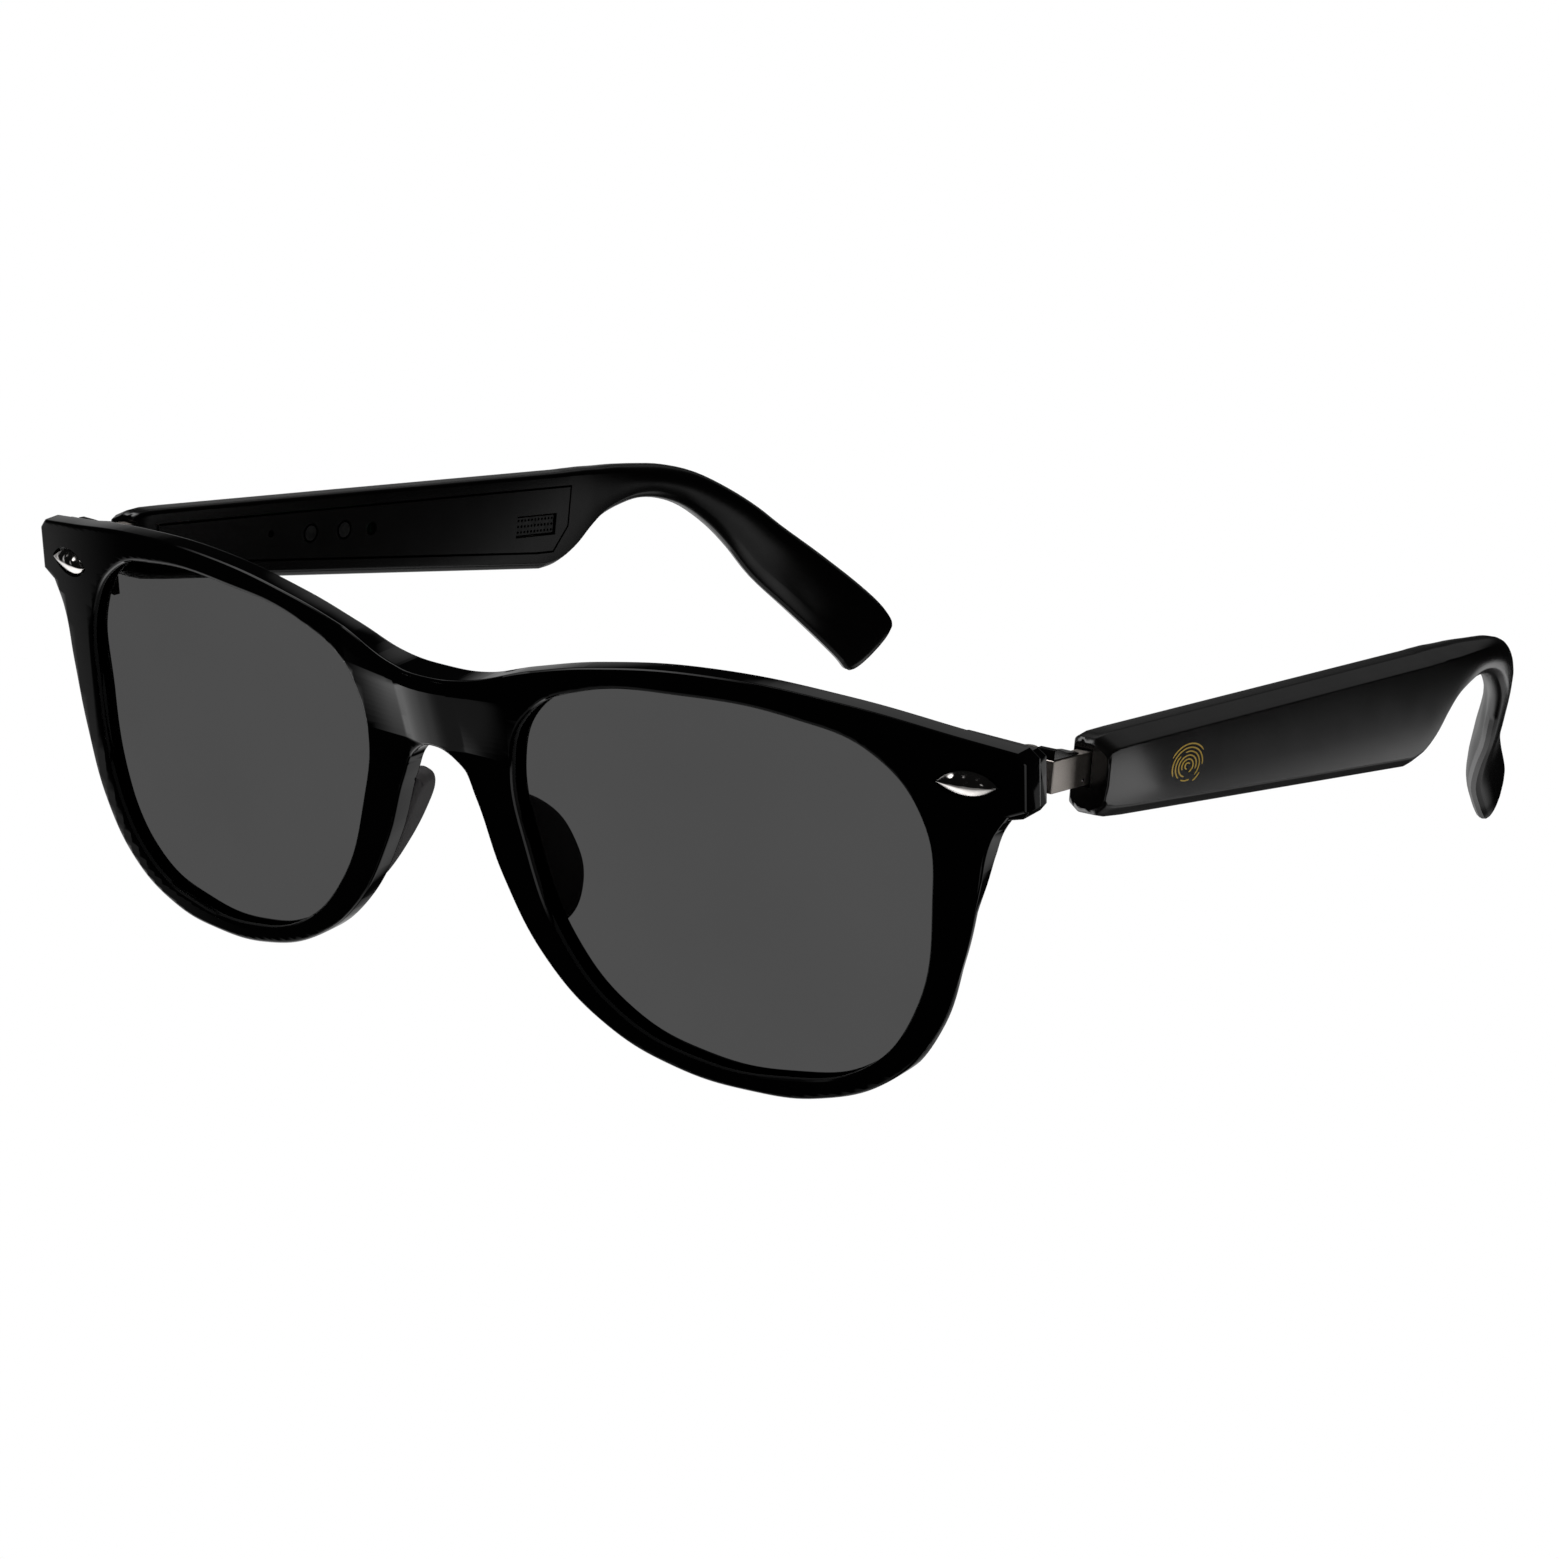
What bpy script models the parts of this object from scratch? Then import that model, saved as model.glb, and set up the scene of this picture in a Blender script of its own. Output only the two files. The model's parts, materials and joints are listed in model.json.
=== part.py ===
"""Smart glasses: a one-piece black front with tinted lenses, and two thin temples that each
hold a battery, a circuit board, a speaker and a microphone, on sprung folding hinges.

Sizes are in millimetres and become metres in the helpers. The front is drawn in its own upright
plane (X to the wearer's left, Y to the back, Z up), each temple along its own axis, and one empty
then tips the whole pair back until it stands on its rims and on the tips of its ear hooks.
"""
import math

import bmesh
import bpy
from mathutils import Matrix, Vector

MM = 0.001
GAP = 0.3                   # clearance between neighbouring pieces
OVERRUN = 1.0               # how far a cutter runs past the face that it opens

# Stance: the whole pair is tipped back by this much when it stands on a table.
STAND_TILT_DEG = 5.29

# Front frame.
FRONT_THICKNESS = 2.8
ENDPIECE_THICKNESS = 3.7    # the front is thicker where the hinges sit
FRONT_EDGE = 0.6
WRAP_PER_MM = 0.00198       # the front bows back by this times x squared
WRAP_STATION_STEP = 12.0
SIDE_DRAFT = 1.1            # the rims' outer walls lean in by this much from front to back
DRAFT_ACROSS = (59.0, 65.0) # where the lean starts and where it is whole
DRAFT_UP = (13.5, 9.5)
FRONT_HALF_WIDTH = 72.4

# The right-hand half of the front's outline, from the middle of the brow round to the middle of
# the bridge's underside: x, z and whether the outline turns a corner there.
FRONT_OUTLINE = [
    (0.0, 18.5, False), (6.0, 18.9, False), (13.0, 20.9, False), (22.0, 23.0, False),
    (36.0, 24.5, False), (52.0, 23.7, False), (66.0, 21.5, False), (71.3, 20.6, True),
    (FRONT_HALF_WIDTH, 19.5, True), (FRONT_HALF_WIDTH, 14.2, True), (70.7, 12.4, False),
    (68.5, 9.2, False), (67.1, 4.0, False), (65.2, -4.5, False), (62.0, -13.0, False),
    (56.5, -19.2, False), (48.5, -22.6, False), (40.0, -23.3, False), (31.0, -22.4, False),
    (22.0, -19.2, False), (14.3, -13.1, False), (8.6, -4.0, False), (5.3, 4.6, False),
    (3.3, 8.3, False), (0.0, 9.8, False),
]

# The thickening behind each end of the front.
ENDPIECE_START = 1.0
ENDPIECE_OUTLINE = [
    (63.6, 21.0, True), (71.0, 19.9, True), (71.9, 19.1, True), (71.9, 13.9, True),
    (71.2, 12.3, True), (69.0, 10.4, True), (63.6, 9.8, True),
]

# The left lens opening, clockwise from its outer side.
LENS_OUTLINE = [
    (61.9, 2.6, False), (60.9, 12.0, False), (55.6, 18.4, False), (46.5, 21.1, False),
    (33.5, 21.6, False), (20.5, 19.9, False), (13.3, 16.0, False), (10.8, 9.8, False),
    (12.3, 0.0, False), (16.6, -10.4, False), (24.0, -17.6, False), (33.5, -20.8, False),
    (43.5, -21.0, False), (53.5, -18.2, False), (59.6, -10.6, False),
]
LENS_CENTRE = (36.3, 0.3)
LENS_GROOVE = 1.0           # depth of the groove that holds the lens
LENS_BITE = 0.65            # how far the lens reaches into the groove
LENS_THICKNESS = 1.0
LENS_SETBACK = 1.0          # from the front face to the lens

# Nose pads: half-round plates that stand out behind the nose side of each rim.
PAD_THICKNESS = 2.4
PAD_DEPTH = 5.6
PAD_LENGTH = 15.8
PAD_PLACE = (10.0, -2.9)
PAD_LEAN_DEG = 29.0         # the pads follow the nose side of the rims
PAD_SPLAY_DEG = 16.0        # and open out towards the face

# Rivets on the front and the hinges behind them.
RIVET_X = 66.0
RIVET_Z = 16.6
RIVET_HALF_LENGTH = 3.25
RIVET_HALF_HEIGHT = 1.35
RIVET_RECESS = 0.6
RIVET_STEM_RADIUS = 0.7
PIN_X = 68.2
PIN_Y = 16.6
PIN_RADIUS = 0.55
PIN_HEAD_RADIUS = 1.15
PIN_BORE_RADIUS = 0.8
KNUCKLE_RADIUS = 1.6
LINK_EYE_Z = (14.15, 16.35)
KNUCKLE_HEIGHT = 1.1
KNUCKLE_GAP = 0.25

# Temples: each has its own frame, Y' along the temple, Z' up and X' outwards, with its origin at
# the middle of the front end.
TEMPLE_ORIGIN = (71.5, 22.8, 14.1)
TEMPLE_TOE_IN_DEG = 3.2
TEMPLE_DROP_DEG = 10.9
TEMPLE_THICKNESS = 4.8
TEMPLE_TOP = 4.3
TEMPLE_FRONT_BOTTOM = -4.55
TEMPLE_REAR_BOTTOM = -9.1
HOUSING_LENGTH = 75.0

# The housing's edges: how far each is cut back across the thickness and down the height.
TOP_OUTER_CHAMFER = (2.2, 1.1)
TOP_INNER_CHAMFER = (0.4, 0.4)
BOTTOM_INNER_CHAMFER = (1.2, 0.9)
BOTTOM_OUTER_CHAMFER = (1.3, 1.3)

# The housing's rounded front end: how far behind it, then how much lower the top is, how much
# higher the bottom, and how much further out the inner face.
FRONT_END = [(0.0, 1.0, 1.1, 1.1), (0.9, 0.45, 0.5, 0.3), (3.5, 0.1, 0.1, 0.0), (6.0, 0.0, 0.0, 0.0)]

# Sections from the end of the housing to the tip of the ear hook: centre along, up and across,
# then height, thickness, twist in degrees and roundness from 0, the housing's, to 1, an oval.
HOOK_SECTIONS = [
    (77.6, -2.25, 0.0, 12.9, 4.8, 0.0, 0.1),
    (80.2, -1.45, 0.0, 11.5, 4.8, 0.0, 0.2),
    (83.0, -0.2, 0.0, 9.1, 4.7, 0.0, 0.4),
    (86.0, 0.8, 0.0, 7.1, 4.6, 0.0, 0.6),
    (89.8, 1.45, -0.1, 5.9, 4.5, 0.0, 0.8),
    (94.0, 1.8, -0.4, 4.9, 4.3, 0.0, 1.0),
    (98.6, 1.5, -0.85, 4.8, 4.1, 1.0, 1.0),
    (103.8, 0.2, -1.7, 5.3, 3.9, 5.0, 1.0),
    (108.9, -2.4, -3.1, 6.2, 3.7, 10.0, 1.0),
    (113.0, -5.4, -4.8, 7.4, 3.4, 13.0, 1.0),
    (116.8, -9.0, -6.8, 8.7, 3.3, 13.0, 1.0),
    (121.8, -13.0, -9.5, 9.6, 3.5, 8.0, 1.0),
    (126.7, -16.9, -11.8, 10.3, 3.6, 6.0, 1.0),
    (131.0, -20.4, -13.0, 10.6, 3.6, 9.0, 1.0),
    (133.4, -22.7, -13.3, 10.0, 3.4, 11.0, 1.0),
    (134.1, -23.4, -13.3, 8.4, 2.6, 11.0, 1.0),
]
SECTION_ANGLES = (-32, 32, 62, 118, 148, 212, 242, 298)
OVAL_SPREAD = 1.06          # makes an eight-sided oval as large as the smooth one

# Inside a temple.
OUTER_WALL = 1.2
COVER_THICKNESS = 1.0
POCKET_OUTLINE = [
    (3.4, 2.5, True), (79.0, 2.5, True), (79.0, -3.2, True), (76.4, -6.7, True),
    (73.0, -6.7, True), (3.4, -2.6, True),
]
LINK_HALF_HEIGHT = 1.7
LINK_MIDDLE_Z = 0.25
LINK_FACES = (-1.0, 0.9)    # inner and outer face of the link
LINK_LENGTH = (-7.0, 6.0)   # its two ends
LINK_CAP_FACES = (-2.2, 0.7)
LINK_CAP_OUTLINE = [
    (-4.4, 1.0, True), (-4.4, 3.3, True), (-3.2, 3.3, True), (-0.4, 2.3, True), (-0.4, 1.0, True),
]
LINK_CAP_NOTCH_END = -1.2   # behind this the cap covers only the link's inner side
ROD_X = -0.1
ROD_RADIUS = 0.4
ROD_HEAD_RADIUS = 0.8
ROD_LENGTH = (5.5, 17.2)
ROD_HEAD_START = 16.5
SOCKET_ENDS = (8.0, 10.0)
SPRING_ENDS = (10.5, 14.6)
SPRING_RADIUS = 0.82
SPRING_WIRE = 0.17
SPRING_TURNS = 5
CONTACT_RADIUS = 1.0
CONTACT_PLACES = {"front": 30.0, "rear": 36.0}
CONTACT_HEIGHT = -0.6
STATUS_LIGHT_PLACE = (41.0, -0.8)
STATUS_LIGHT_RADIUS = 0.6
MICROPHONE_PLACE = (23.0, -0.2)
MICROPHONE_HOLE_RADIUS = 0.5
SOUND_SLOT = ((68.6, 76.4), (-4.2, -1.2))

CURVE_STEPS = 3
ROUND_STEPS = 20
HOLE_STEPS = 16
STEM_STEPS = 12


# ---------------------------------------------------------------- scene, materials, helpers

def clear_scene():
    for item in list(bpy.data.objects):
        bpy.data.objects.remove(item, do_unlink=True)


def new_collection(name):
    made = bpy.data.collections.new(name)
    bpy.context.scene.collection.children.link(made)
    return made


def new_material(name, colour, roughness, metallic=0.0, transmission=0.0):
    made = bpy.data.materials.new(name)
    made.use_nodes = True
    shader = made.node_tree.nodes["Principled BSDF"]
    shader.inputs["Base Color"].default_value = (*colour, 1.0)
    shader.inputs["Roughness"].default_value = roughness
    shader.inputs["Metallic"].default_value = metallic
    shader.inputs["Transmission Weight"].default_value = transmission
    made.diffuse_color = (*colour, 1.0)
    return made


def add_empty(name, parent, location=(0.0, 0.0, 0.0), rotation=(0.0, 0.0, 0.0)):
    made = bpy.data.objects.new(name, None)
    PARTS.objects.link(made)
    made.parent = parent
    made.location = Vector(location) * MM
    made.rotation_euler = rotation
    return made


def add_part(name, mesh, material, parent):
    mesh.name = name
    mesh.materials.clear()
    mesh.materials.append(material)
    mesh.shade_smooth()
    mesh.set_sharp_from_angle(angle=math.radians(30))
    made = bpy.data.objects.new(name, mesh)
    PARTS.objects.link(made)
    made.parent = parent
    return made


def add_cutter(name, mesh, parent):
    made = bpy.data.objects.new(name, mesh)
    CUTTERS.objects.link(made)
    made.parent = parent
    made.display_type = "WIRE"
    made.hide_render = True
    return made


def combine(target, tool_mesh, operation="DIFFERENCE"):
    """Cut a mesh from a part, or join one to it, with a Boolean modifier."""
    tool = add_cutter(target.name + "_tool", tool_mesh, target.parent)
    change = target.modifiers.new(operation.title(), "BOOLEAN")
    change.operation = operation
    change.solver = "EXACT"
    change.object = tool


def mesh_from(build):
    """A mesh made by a function that fills a bmesh in millimetres."""
    shape = bmesh.new()
    build(shape)
    bmesh.ops.scale(shape, vec=(MM, MM, MM), verts=shape.verts)
    bmesh.ops.recalc_face_normals(shape, faces=shape.faces)
    mesh = bpy.data.meshes.new("shape")
    shape.to_mesh(mesh)
    shape.free()
    return mesh


def box(low, high):
    low, high = Vector(low), Vector(high)
    place = Matrix.Translation((low + high) / 2) @ Matrix.Diagonal((*(high - low), 1.0))
    return mesh_from(lambda shape: bmesh.ops.create_cube(shape, size=1.0, matrix=place))


def cylinder(radius, start, end, steps=ROUND_STEPS, end_radius=None):
    """A round bar between two points."""
    start, end = Vector(start), Vector(end)
    along = end - start
    place = Matrix.Translation((start + end) / 2) @ along.to_track_quat("Z", "Y").to_matrix().to_4x4()
    return mesh_from(lambda shape: bmesh.ops.create_cone(
        shape, cap_ends=True, segments=steps, radius1=radius,
        radius2=radius if end_radius is None else end_radius, depth=along.length, matrix=place))


def outline_plate(loops, thickness, edge=0.0, steps=CURVE_STEPS):
    """A flat plate in the XY plane from closed outlines, later ones being holes in the first.

    Its rim is chamfered by the given width, and the plate reaches half its thickness to each
    side of the plane.
    """
    curve = bpy.data.curves.new("outline", "CURVE")
    curve.dimensions = "2D"
    curve.fill_mode = "BOTH"
    curve.extrude = (thickness / 2 - edge) * MM
    curve.bevel_depth = edge * MM
    curve.bevel_resolution = 0
    curve.offset = -edge * MM
    for points in loops:
        spline = curve.splines.new("BEZIER")
        spline.bezier_points.add(len(points) - 1)
        spline.use_cyclic_u = True
        spline.resolution_u = steps
        for knot, (across, up, corner) in zip(spline.bezier_points, points):
            knot.co = (across * MM, up * MM, 0.0)
            knot.handle_left_type = knot.handle_right_type = "VECTOR" if corner else "AUTO"
    holder = bpy.data.objects.new("outline", curve)
    PARTS.objects.link(holder)
    bpy.context.view_layer.update()
    seen = holder.evaluated_get(bpy.context.evaluated_depsgraph_get())
    mesh = bpy.data.meshes.new_from_object(seen)
    bpy.data.objects.remove(holder, do_unlink=True)
    shape = bmesh.new()
    shape.from_mesh(mesh)
    bmesh.ops.remove_doubles(shape, verts=shape.verts, dist=0.002 * MM)
    bmesh.ops.dissolve_degenerate(shape, edges=shape.edges, dist=0.002 * MM)
    bmesh.ops.recalc_face_normals(shape, faces=shape.faces)
    shape.to_mesh(mesh)
    shape.free()
    return mesh


def slice_mesh(mesh, axis, stations):
    """Add edge loops where planes across one axis meet the mesh, so that it can bend there."""
    shape = bmesh.new()
    shape.from_mesh(mesh)
    for station in stations:
        point = Vector((0.0, 0.0, 0.0))
        point[axis] = station * MM
        normal = Vector((0.0, 0.0, 0.0))
        normal[axis] = 1.0
        everything = shape.verts[:] + shape.edges[:] + shape.faces[:]
        bmesh.ops.bisect_plane(shape, geom=everything, plane_co=point, plane_no=normal,
                               dist=0.02 * MM)
    bmesh.ops.triangulate(shape, faces=shape.faces)
    shape.to_mesh(mesh)
    shape.free()


def mirrored_outline(half):
    """A whole outline from its right-hand half, whose first and last points lie on the middle."""
    return half + [(-across, up, corner) for across, up, corner in reversed(half[1:-1])]


def grown_outline(points, centre, grow):
    """The outline moved outwards by about one amount all round."""
    half_width = (max(p[0] for p in points) - min(p[0] for p in points)) / 2
    half_height = (max(p[1] for p in points) - min(p[1] for p in points)) / 2
    wider = 1 + grow / half_width
    taller = 1 + grow / half_height
    return [(centre[0] + (across - centre[0]) * wider, centre[1] + (up - centre[1]) * taller, corner)
            for across, up, corner in points]


# ---------------------------------------------------------------- the front

def wrap_depth(across):
    """How far back the front face lies at a distance from the middle."""
    return WRAP_PER_MM * across * across


def share_between(value, ends):
    """0 before the first end, 1 past the second, and a straight blend between them."""
    return min(max((value - ends[0]) / (ends[1] - ends[0]), 0.0), 1.0)


def lean_sides(mesh):
    """Lean the outer walls of both rims towards the middle as they run back."""
    for vertex in mesh.vertices:
        across, depth, up = vertex.co / MM
        lean = SIDE_DRAFT * (depth / FRONT_THICKNESS + 0.5)
        lean *= share_between(abs(across), DRAFT_ACROSS) * share_between(up, DRAFT_UP)
        vertex.co.x -= math.copysign(lean, across) * MM


def wrap_front(mesh, setback, leaning=False):
    """Stand a flat plate up in the front's plane, set it back and bow it."""
    stations = [WRAP_STATION_STEP * step for step in range(-6, 7)]
    slice_mesh(mesh, 0, stations)
    mesh.transform(Matrix.Rotation(math.pi / 2, 4, "X"))
    if leaning:
        lean_sides(mesh)
    for vertex in mesh.vertices:
        vertex.co.y += (setback + wrap_depth(vertex.co.x / MM)) * MM
    return mesh


def mirrored(points):
    return [(-across, up, corner) for across, up, corner in points]


def rivet_frame():
    """The place and slant of the front face at the rivet: X along the face, Y into it."""
    slant = math.atan(2 * WRAP_PER_MM * RIVET_X)
    place = Vector((RIVET_X, wrap_depth(RIVET_X), RIVET_Z)) * MM
    return Matrix.Translation(place) @ Matrix.Rotation(slant, 4, "Z")


def pointed_oval(grow, depth_low, depth_high, edge=0.0):
    """The rivet's outline as a plate between two depths behind the front face."""
    wide = RIVET_HALF_LENGTH + grow
    high = RIVET_HALF_HEIGHT + grow
    points = [(wide, 0.0, True), (wide * 0.5, high * 0.72, False), (0.0, high, False),
              (-wide * 0.5, high * 0.72, False), (-wide, 0.0, True), (-wide * 0.5, -high * 0.72, False),
              (0.0, -high, False), (wide * 0.5, -high * 0.72, False)]
    mesh = outline_plate([points], depth_high - depth_low, edge)
    mesh.transform(Matrix.Rotation(math.pi / 2, 4, "X"))
    mesh.transform(Matrix.Translation((0.0, (depth_low + depth_high) / 2 * MM, 0.0)))
    return mesh


def make_front():
    loops = [mirrored_outline(FRONT_OUTLINE), LENS_OUTLINE, mirrored(LENS_OUTLINE)]
    plate = outline_plate(loops, FRONT_THICKNESS, FRONT_EDGE)
    front = add_part("front_frame", wrap_front(plate, FRONT_THICKNESS / 2, leaning=True), BLACK_GLOSS, STAND)
    block_thickness = ENDPIECE_THICKNESS - ENDPIECE_START
    for outline in (ENDPIECE_OUTLINE, mirrored(ENDPIECE_OUTLINE)):
        block = outline_plate([outline], block_thickness, FRONT_EDGE)
        combine(front, wrap_front(block, ENDPIECE_START + block_thickness / 2), "UNION")
    groove_depth = LENS_THICKNESS + 2 * GAP
    groove_setback = LENS_SETBACK + LENS_THICKNESS / 2
    for side in (1, -1):
        outline = grown_outline(LENS_OUTLINE, LENS_CENTRE, LENS_GROOVE)
        outline = outline if side > 0 else mirrored(outline)
        combine(front, wrap_front(outline_plate([outline], groove_depth), groove_setback))
        flip = Matrix.Diagonal((side, 1.0, 1.0, 1.0))
        recess = pointed_oval(GAP, -OVERRUN, RIVET_RECESS)
        hole_end = (0, ENDPIECE_THICKNESS + OVERRUN, 0)
        stem_hole = cylinder(RIVET_STEM_RADIUS + GAP, (0, 0, 0), hole_end, STEM_STEPS)
        for tool in (recess, stem_hole):
            tool.transform(flip @ rivet_frame())
            if side < 0:
                tool.flip_normals()
            combine(front, tool)


def make_lens():
    outline = grown_outline(LENS_OUTLINE, LENS_CENTRE, LENS_BITE)
    plate = outline_plate([outline], LENS_THICKNESS)
    return add_part("lens_left", wrap_front(plate, LENS_SETBACK + LENS_THICKNESS / 2), TINTED, STAND)


def make_nose_pad():
    """Half an oval plate on edge, flat side against the back of the frame."""
    half = PAD_LENGTH / 2
    points = [(0.0, half, True), (PAD_DEPTH * 0.72, half * 0.66, False), (PAD_DEPTH, 0.0, False),
              (PAD_DEPTH * 0.72, -half * 0.66, False), (0.0, -half, True)]
    mesh = outline_plate([points], PAD_THICKNESS, 0.7)
    upright = Matrix(((0, 0, 1, 0), (1, 0, 0, 0), (0, 1, 0, 0), (0, 0, 0, 1)))
    mesh.transform(Matrix.Rotation(math.radians(-PAD_SPLAY_DEG), 4, "Z") @ upright)
    mesh.transform(Matrix.Rotation(math.radians(-PAD_LEAN_DEG), 4, "Y"))
    behind = FRONT_THICKNESS + wrap_depth(PAD_PLACE[0]) + GAP + 0.65
    pad = add_part("nose_pad_left", mesh, BLACK_SATIN, STAND)
    pad.location = Vector((PAD_PLACE[0], behind, PAD_PLACE[1])) * MM
    return pad


def make_rivet():
    head = pointed_oval(0.0, -0.6, RIVET_RECESS - GAP, 0.4)
    rivet = add_part("rivet_left", head, CHROME, STAND)
    rivet.matrix_local = rivet_frame()
    stem = cylinder(RIVET_STEM_RADIUS, (0, 0, 0), (0, ENDPIECE_THICKNESS + 0.9, 0), STEM_STEPS)
    stem.transform(rivet_frame())
    combine(rivet, stem, "UNION")
    return rivet


def make_front_hinge():
    """The riveted plate behind the front, with a knuckle above and below the link's eye."""
    near, far = ENDPIECE_THICKNESS + GAP, ENDPIECE_THICKNESS + GAP + 0.8
    plate = box((-3.3, near, -4.3), (2.7, far, 2.5))
    plate.transform(rivet_frame())
    hinge = add_part("front_hinge_left", plate, STEEL, STAND)
    low_top = LINK_EYE_Z[0] - KNUCKLE_GAP
    high_bottom = LINK_EYE_Z[1] + KNUCKLE_GAP
    arm_front = wrap_depth(PIN_X) + near + 0.35
    for bottom in (low_top - KNUCKLE_HEIGHT, high_bottom):
        top = bottom + KNUCKLE_HEIGHT
        combine(hinge, box((PIN_X - 1.5, arm_front, bottom), (PIN_X + 0.6, PIN_Y, top)), "UNION")
        knuckle = cylinder(KNUCKLE_RADIUS, (PIN_X, PIN_Y, bottom), (PIN_X, PIN_Y, top))
        combine(hinge, knuckle, "UNION")
    combine(hinge, cylinder(PIN_BORE_RADIUS, (PIN_X, PIN_Y, 8), (PIN_X, PIN_Y, 24)))
    stem_hole = cylinder(RIVET_STEM_RADIUS + GAP, (0, near - OVERRUN, 0), (0, far + OVERRUN, 0), STEM_STEPS)
    stem_hole.transform(rivet_frame())
    combine(hinge, stem_hole)
    return hinge


def make_hinge_pin():
    """A shouldered screw through the knuckles and the link's eye."""
    bottom = LINK_EYE_Z[0] - KNUCKLE_GAP - KNUCKLE_HEIGHT
    top = LINK_EYE_Z[1] + KNUCKLE_GAP + KNUCKLE_HEIGHT + KNUCKLE_GAP
    pin = add_part("hinge_pin_left", cylinder(PIN_RADIUS, (PIN_X, PIN_Y, bottom), (PIN_X, PIN_Y, top + 0.3)),
                   STEEL, STAND)
    head = cylinder(PIN_HEAD_RADIUS, (PIN_X, PIN_Y, top), (PIN_X, PIN_Y, top + 0.6))
    combine(pin, head, "UNION")
    return pin


# ---------------------------------------------------------------- a temple

def housing_sections():
    """The sections of the straight housing, with smaller ones that round off its front end."""
    made = []
    for along, top_inset, bottom_inset, inner_inset in FRONT_END + [(HOUSING_LENGTH, 0.0, 0.0, 0.0)]:
        share = along / HOUSING_LENGTH
        bottom = TEMPLE_FRONT_BOTTOM + (TEMPLE_REAR_BOTTOM - TEMPLE_FRONT_BOTTOM) * share + bottom_inset
        top = TEMPLE_TOP - top_inset
        made.append((along, (top + bottom) / 2, inner_inset / 2, top - bottom,
                     TEMPLE_THICKNESS - inner_inset, 0.0, 0.0))
    return made


def section_points(height, thickness, roundness):
    """Eight corners of a section, across and up: a chamfered block that can turn into an oval."""
    a, b = thickness / 2, height / 2
    (tox, toz), (tix, tiz) = TOP_OUTER_CHAMFER, TOP_INNER_CHAMFER
    (bix, biz), (bottom_out, boz) = BOTTOM_INNER_CHAMFER, BOTTOM_OUTER_CHAMFER
    block = [(a, boz - b), (a, b - toz), (a - tox, b), (tix - a, b), (-a, b - tiz), (-a, biz - b),
             (bix - a, -b), (a - bottom_out, -b)]
    oval = [(a * OVAL_SPREAD * math.cos(math.radians(turn)), b * OVAL_SPREAD * math.sin(math.radians(turn)))
            for turn in SECTION_ANGLES]
    return [Vector(p).lerp(Vector(q), roundness) for p, q in zip(block, oval)]


def loft_temple(shape):
    """The housing and hook as one loft through sections square to their middle line."""
    sections = housing_sections() + HOOK_SECTIONS
    centres = [Vector((across, along, up)) for along, up, across, *rest in sections]
    rings = []
    for index, (along, up, across, height, thickness, twist, roundness) in enumerate(sections):
        before = centres[max(index - 1, 0)]
        after = centres[min(index + 1, len(centres) - 1)]
        forward = (after - before).normalized()
        if along <= HOUSING_LENGTH:
            forward = Vector((0.0, 1.0, 0.0))
        outward = (Vector((1.0, 0.0, 0.0)) - forward * forward.x).normalized()
        upward = outward.cross(forward)
        turn = math.radians(twist)
        wide = outward * math.cos(turn) + upward * math.sin(turn)
        tall = upward * math.cos(turn) - outward * math.sin(turn)
        rings.append([shape.verts.new(centres[index] + wide * point.x + tall * point.y)
                      for point in section_points(height, thickness, roundness)])
    for ring, following in zip(rings, rings[1:]):
        for corner in range(len(ring)):
            near = (corner + 1) % len(ring)
            shape.faces.new((ring[corner], ring[near], following[near], following[corner]))
    shape.faces.new(rings[0])
    shape.faces.new(rings[-1])


def side_plate(points, thickness, middle):
    """A plate in the temple's side view: outline points are along the temple and up."""
    mesh = outline_plate([points], thickness)
    mesh.transform(Matrix(((0, 0, 1, middle * MM), (1, 0, 0, 0), (0, 1, 0, 0), (0, 0, 0, 1))))
    return mesh


def box_across(faces, ends, height):
    """A box in the temple's frame from its inner and outer face, its ends and its height."""
    return box((faces[0], ends[0], height[0]), (faces[1], ends[1], height[1]))


def cover_faces():
    inner = -TEMPLE_THICKNESS / 2
    return inner, inner + COVER_THICKNESS


def pocket_faces():
    return cover_faces()[1], TEMPLE_THICKNESS / 2 - OUTER_WALL


def cover_hole(radius, along, up):
    """A bore across the inner cover."""
    inner, outer = cover_faces()
    return cylinder(radius, (inner - OVERRUN, along, up), (outer + OVERRUN, along, up), HOLE_STEPS)


def make_shell():
    """The temple's outer housing with its ear hook, open towards the head for the cover."""
    shell = add_part("temple_shell_left", mesh_from(loft_temple), BLACK_SATIN, TEMPLE)
    inner, wall = -TEMPLE_THICKNESS / 2 - OVERRUN, pocket_faces()[1]
    combine(shell, side_plate(POCKET_OUTLINE, wall - inner, (wall + inner) / 2))
    mouth_low = LINK_MIDDLE_Z - LINK_HALF_HEIGHT - GAP
    mouth_high = LINK_MIDDLE_Z + LINK_HALF_HEIGHT + GAP
    mouth = box_across((LINK_FACES[0] - GAP, LINK_FACES[1] + GAP), (-OVERRUN, 5.0), (mouth_low, mouth_high))
    combine(shell, mouth)
    combine(shell, box_across((0.5, wall + 0.55), (14.2, 23.0), (-2.4, 2.3)))
    return shell


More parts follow.
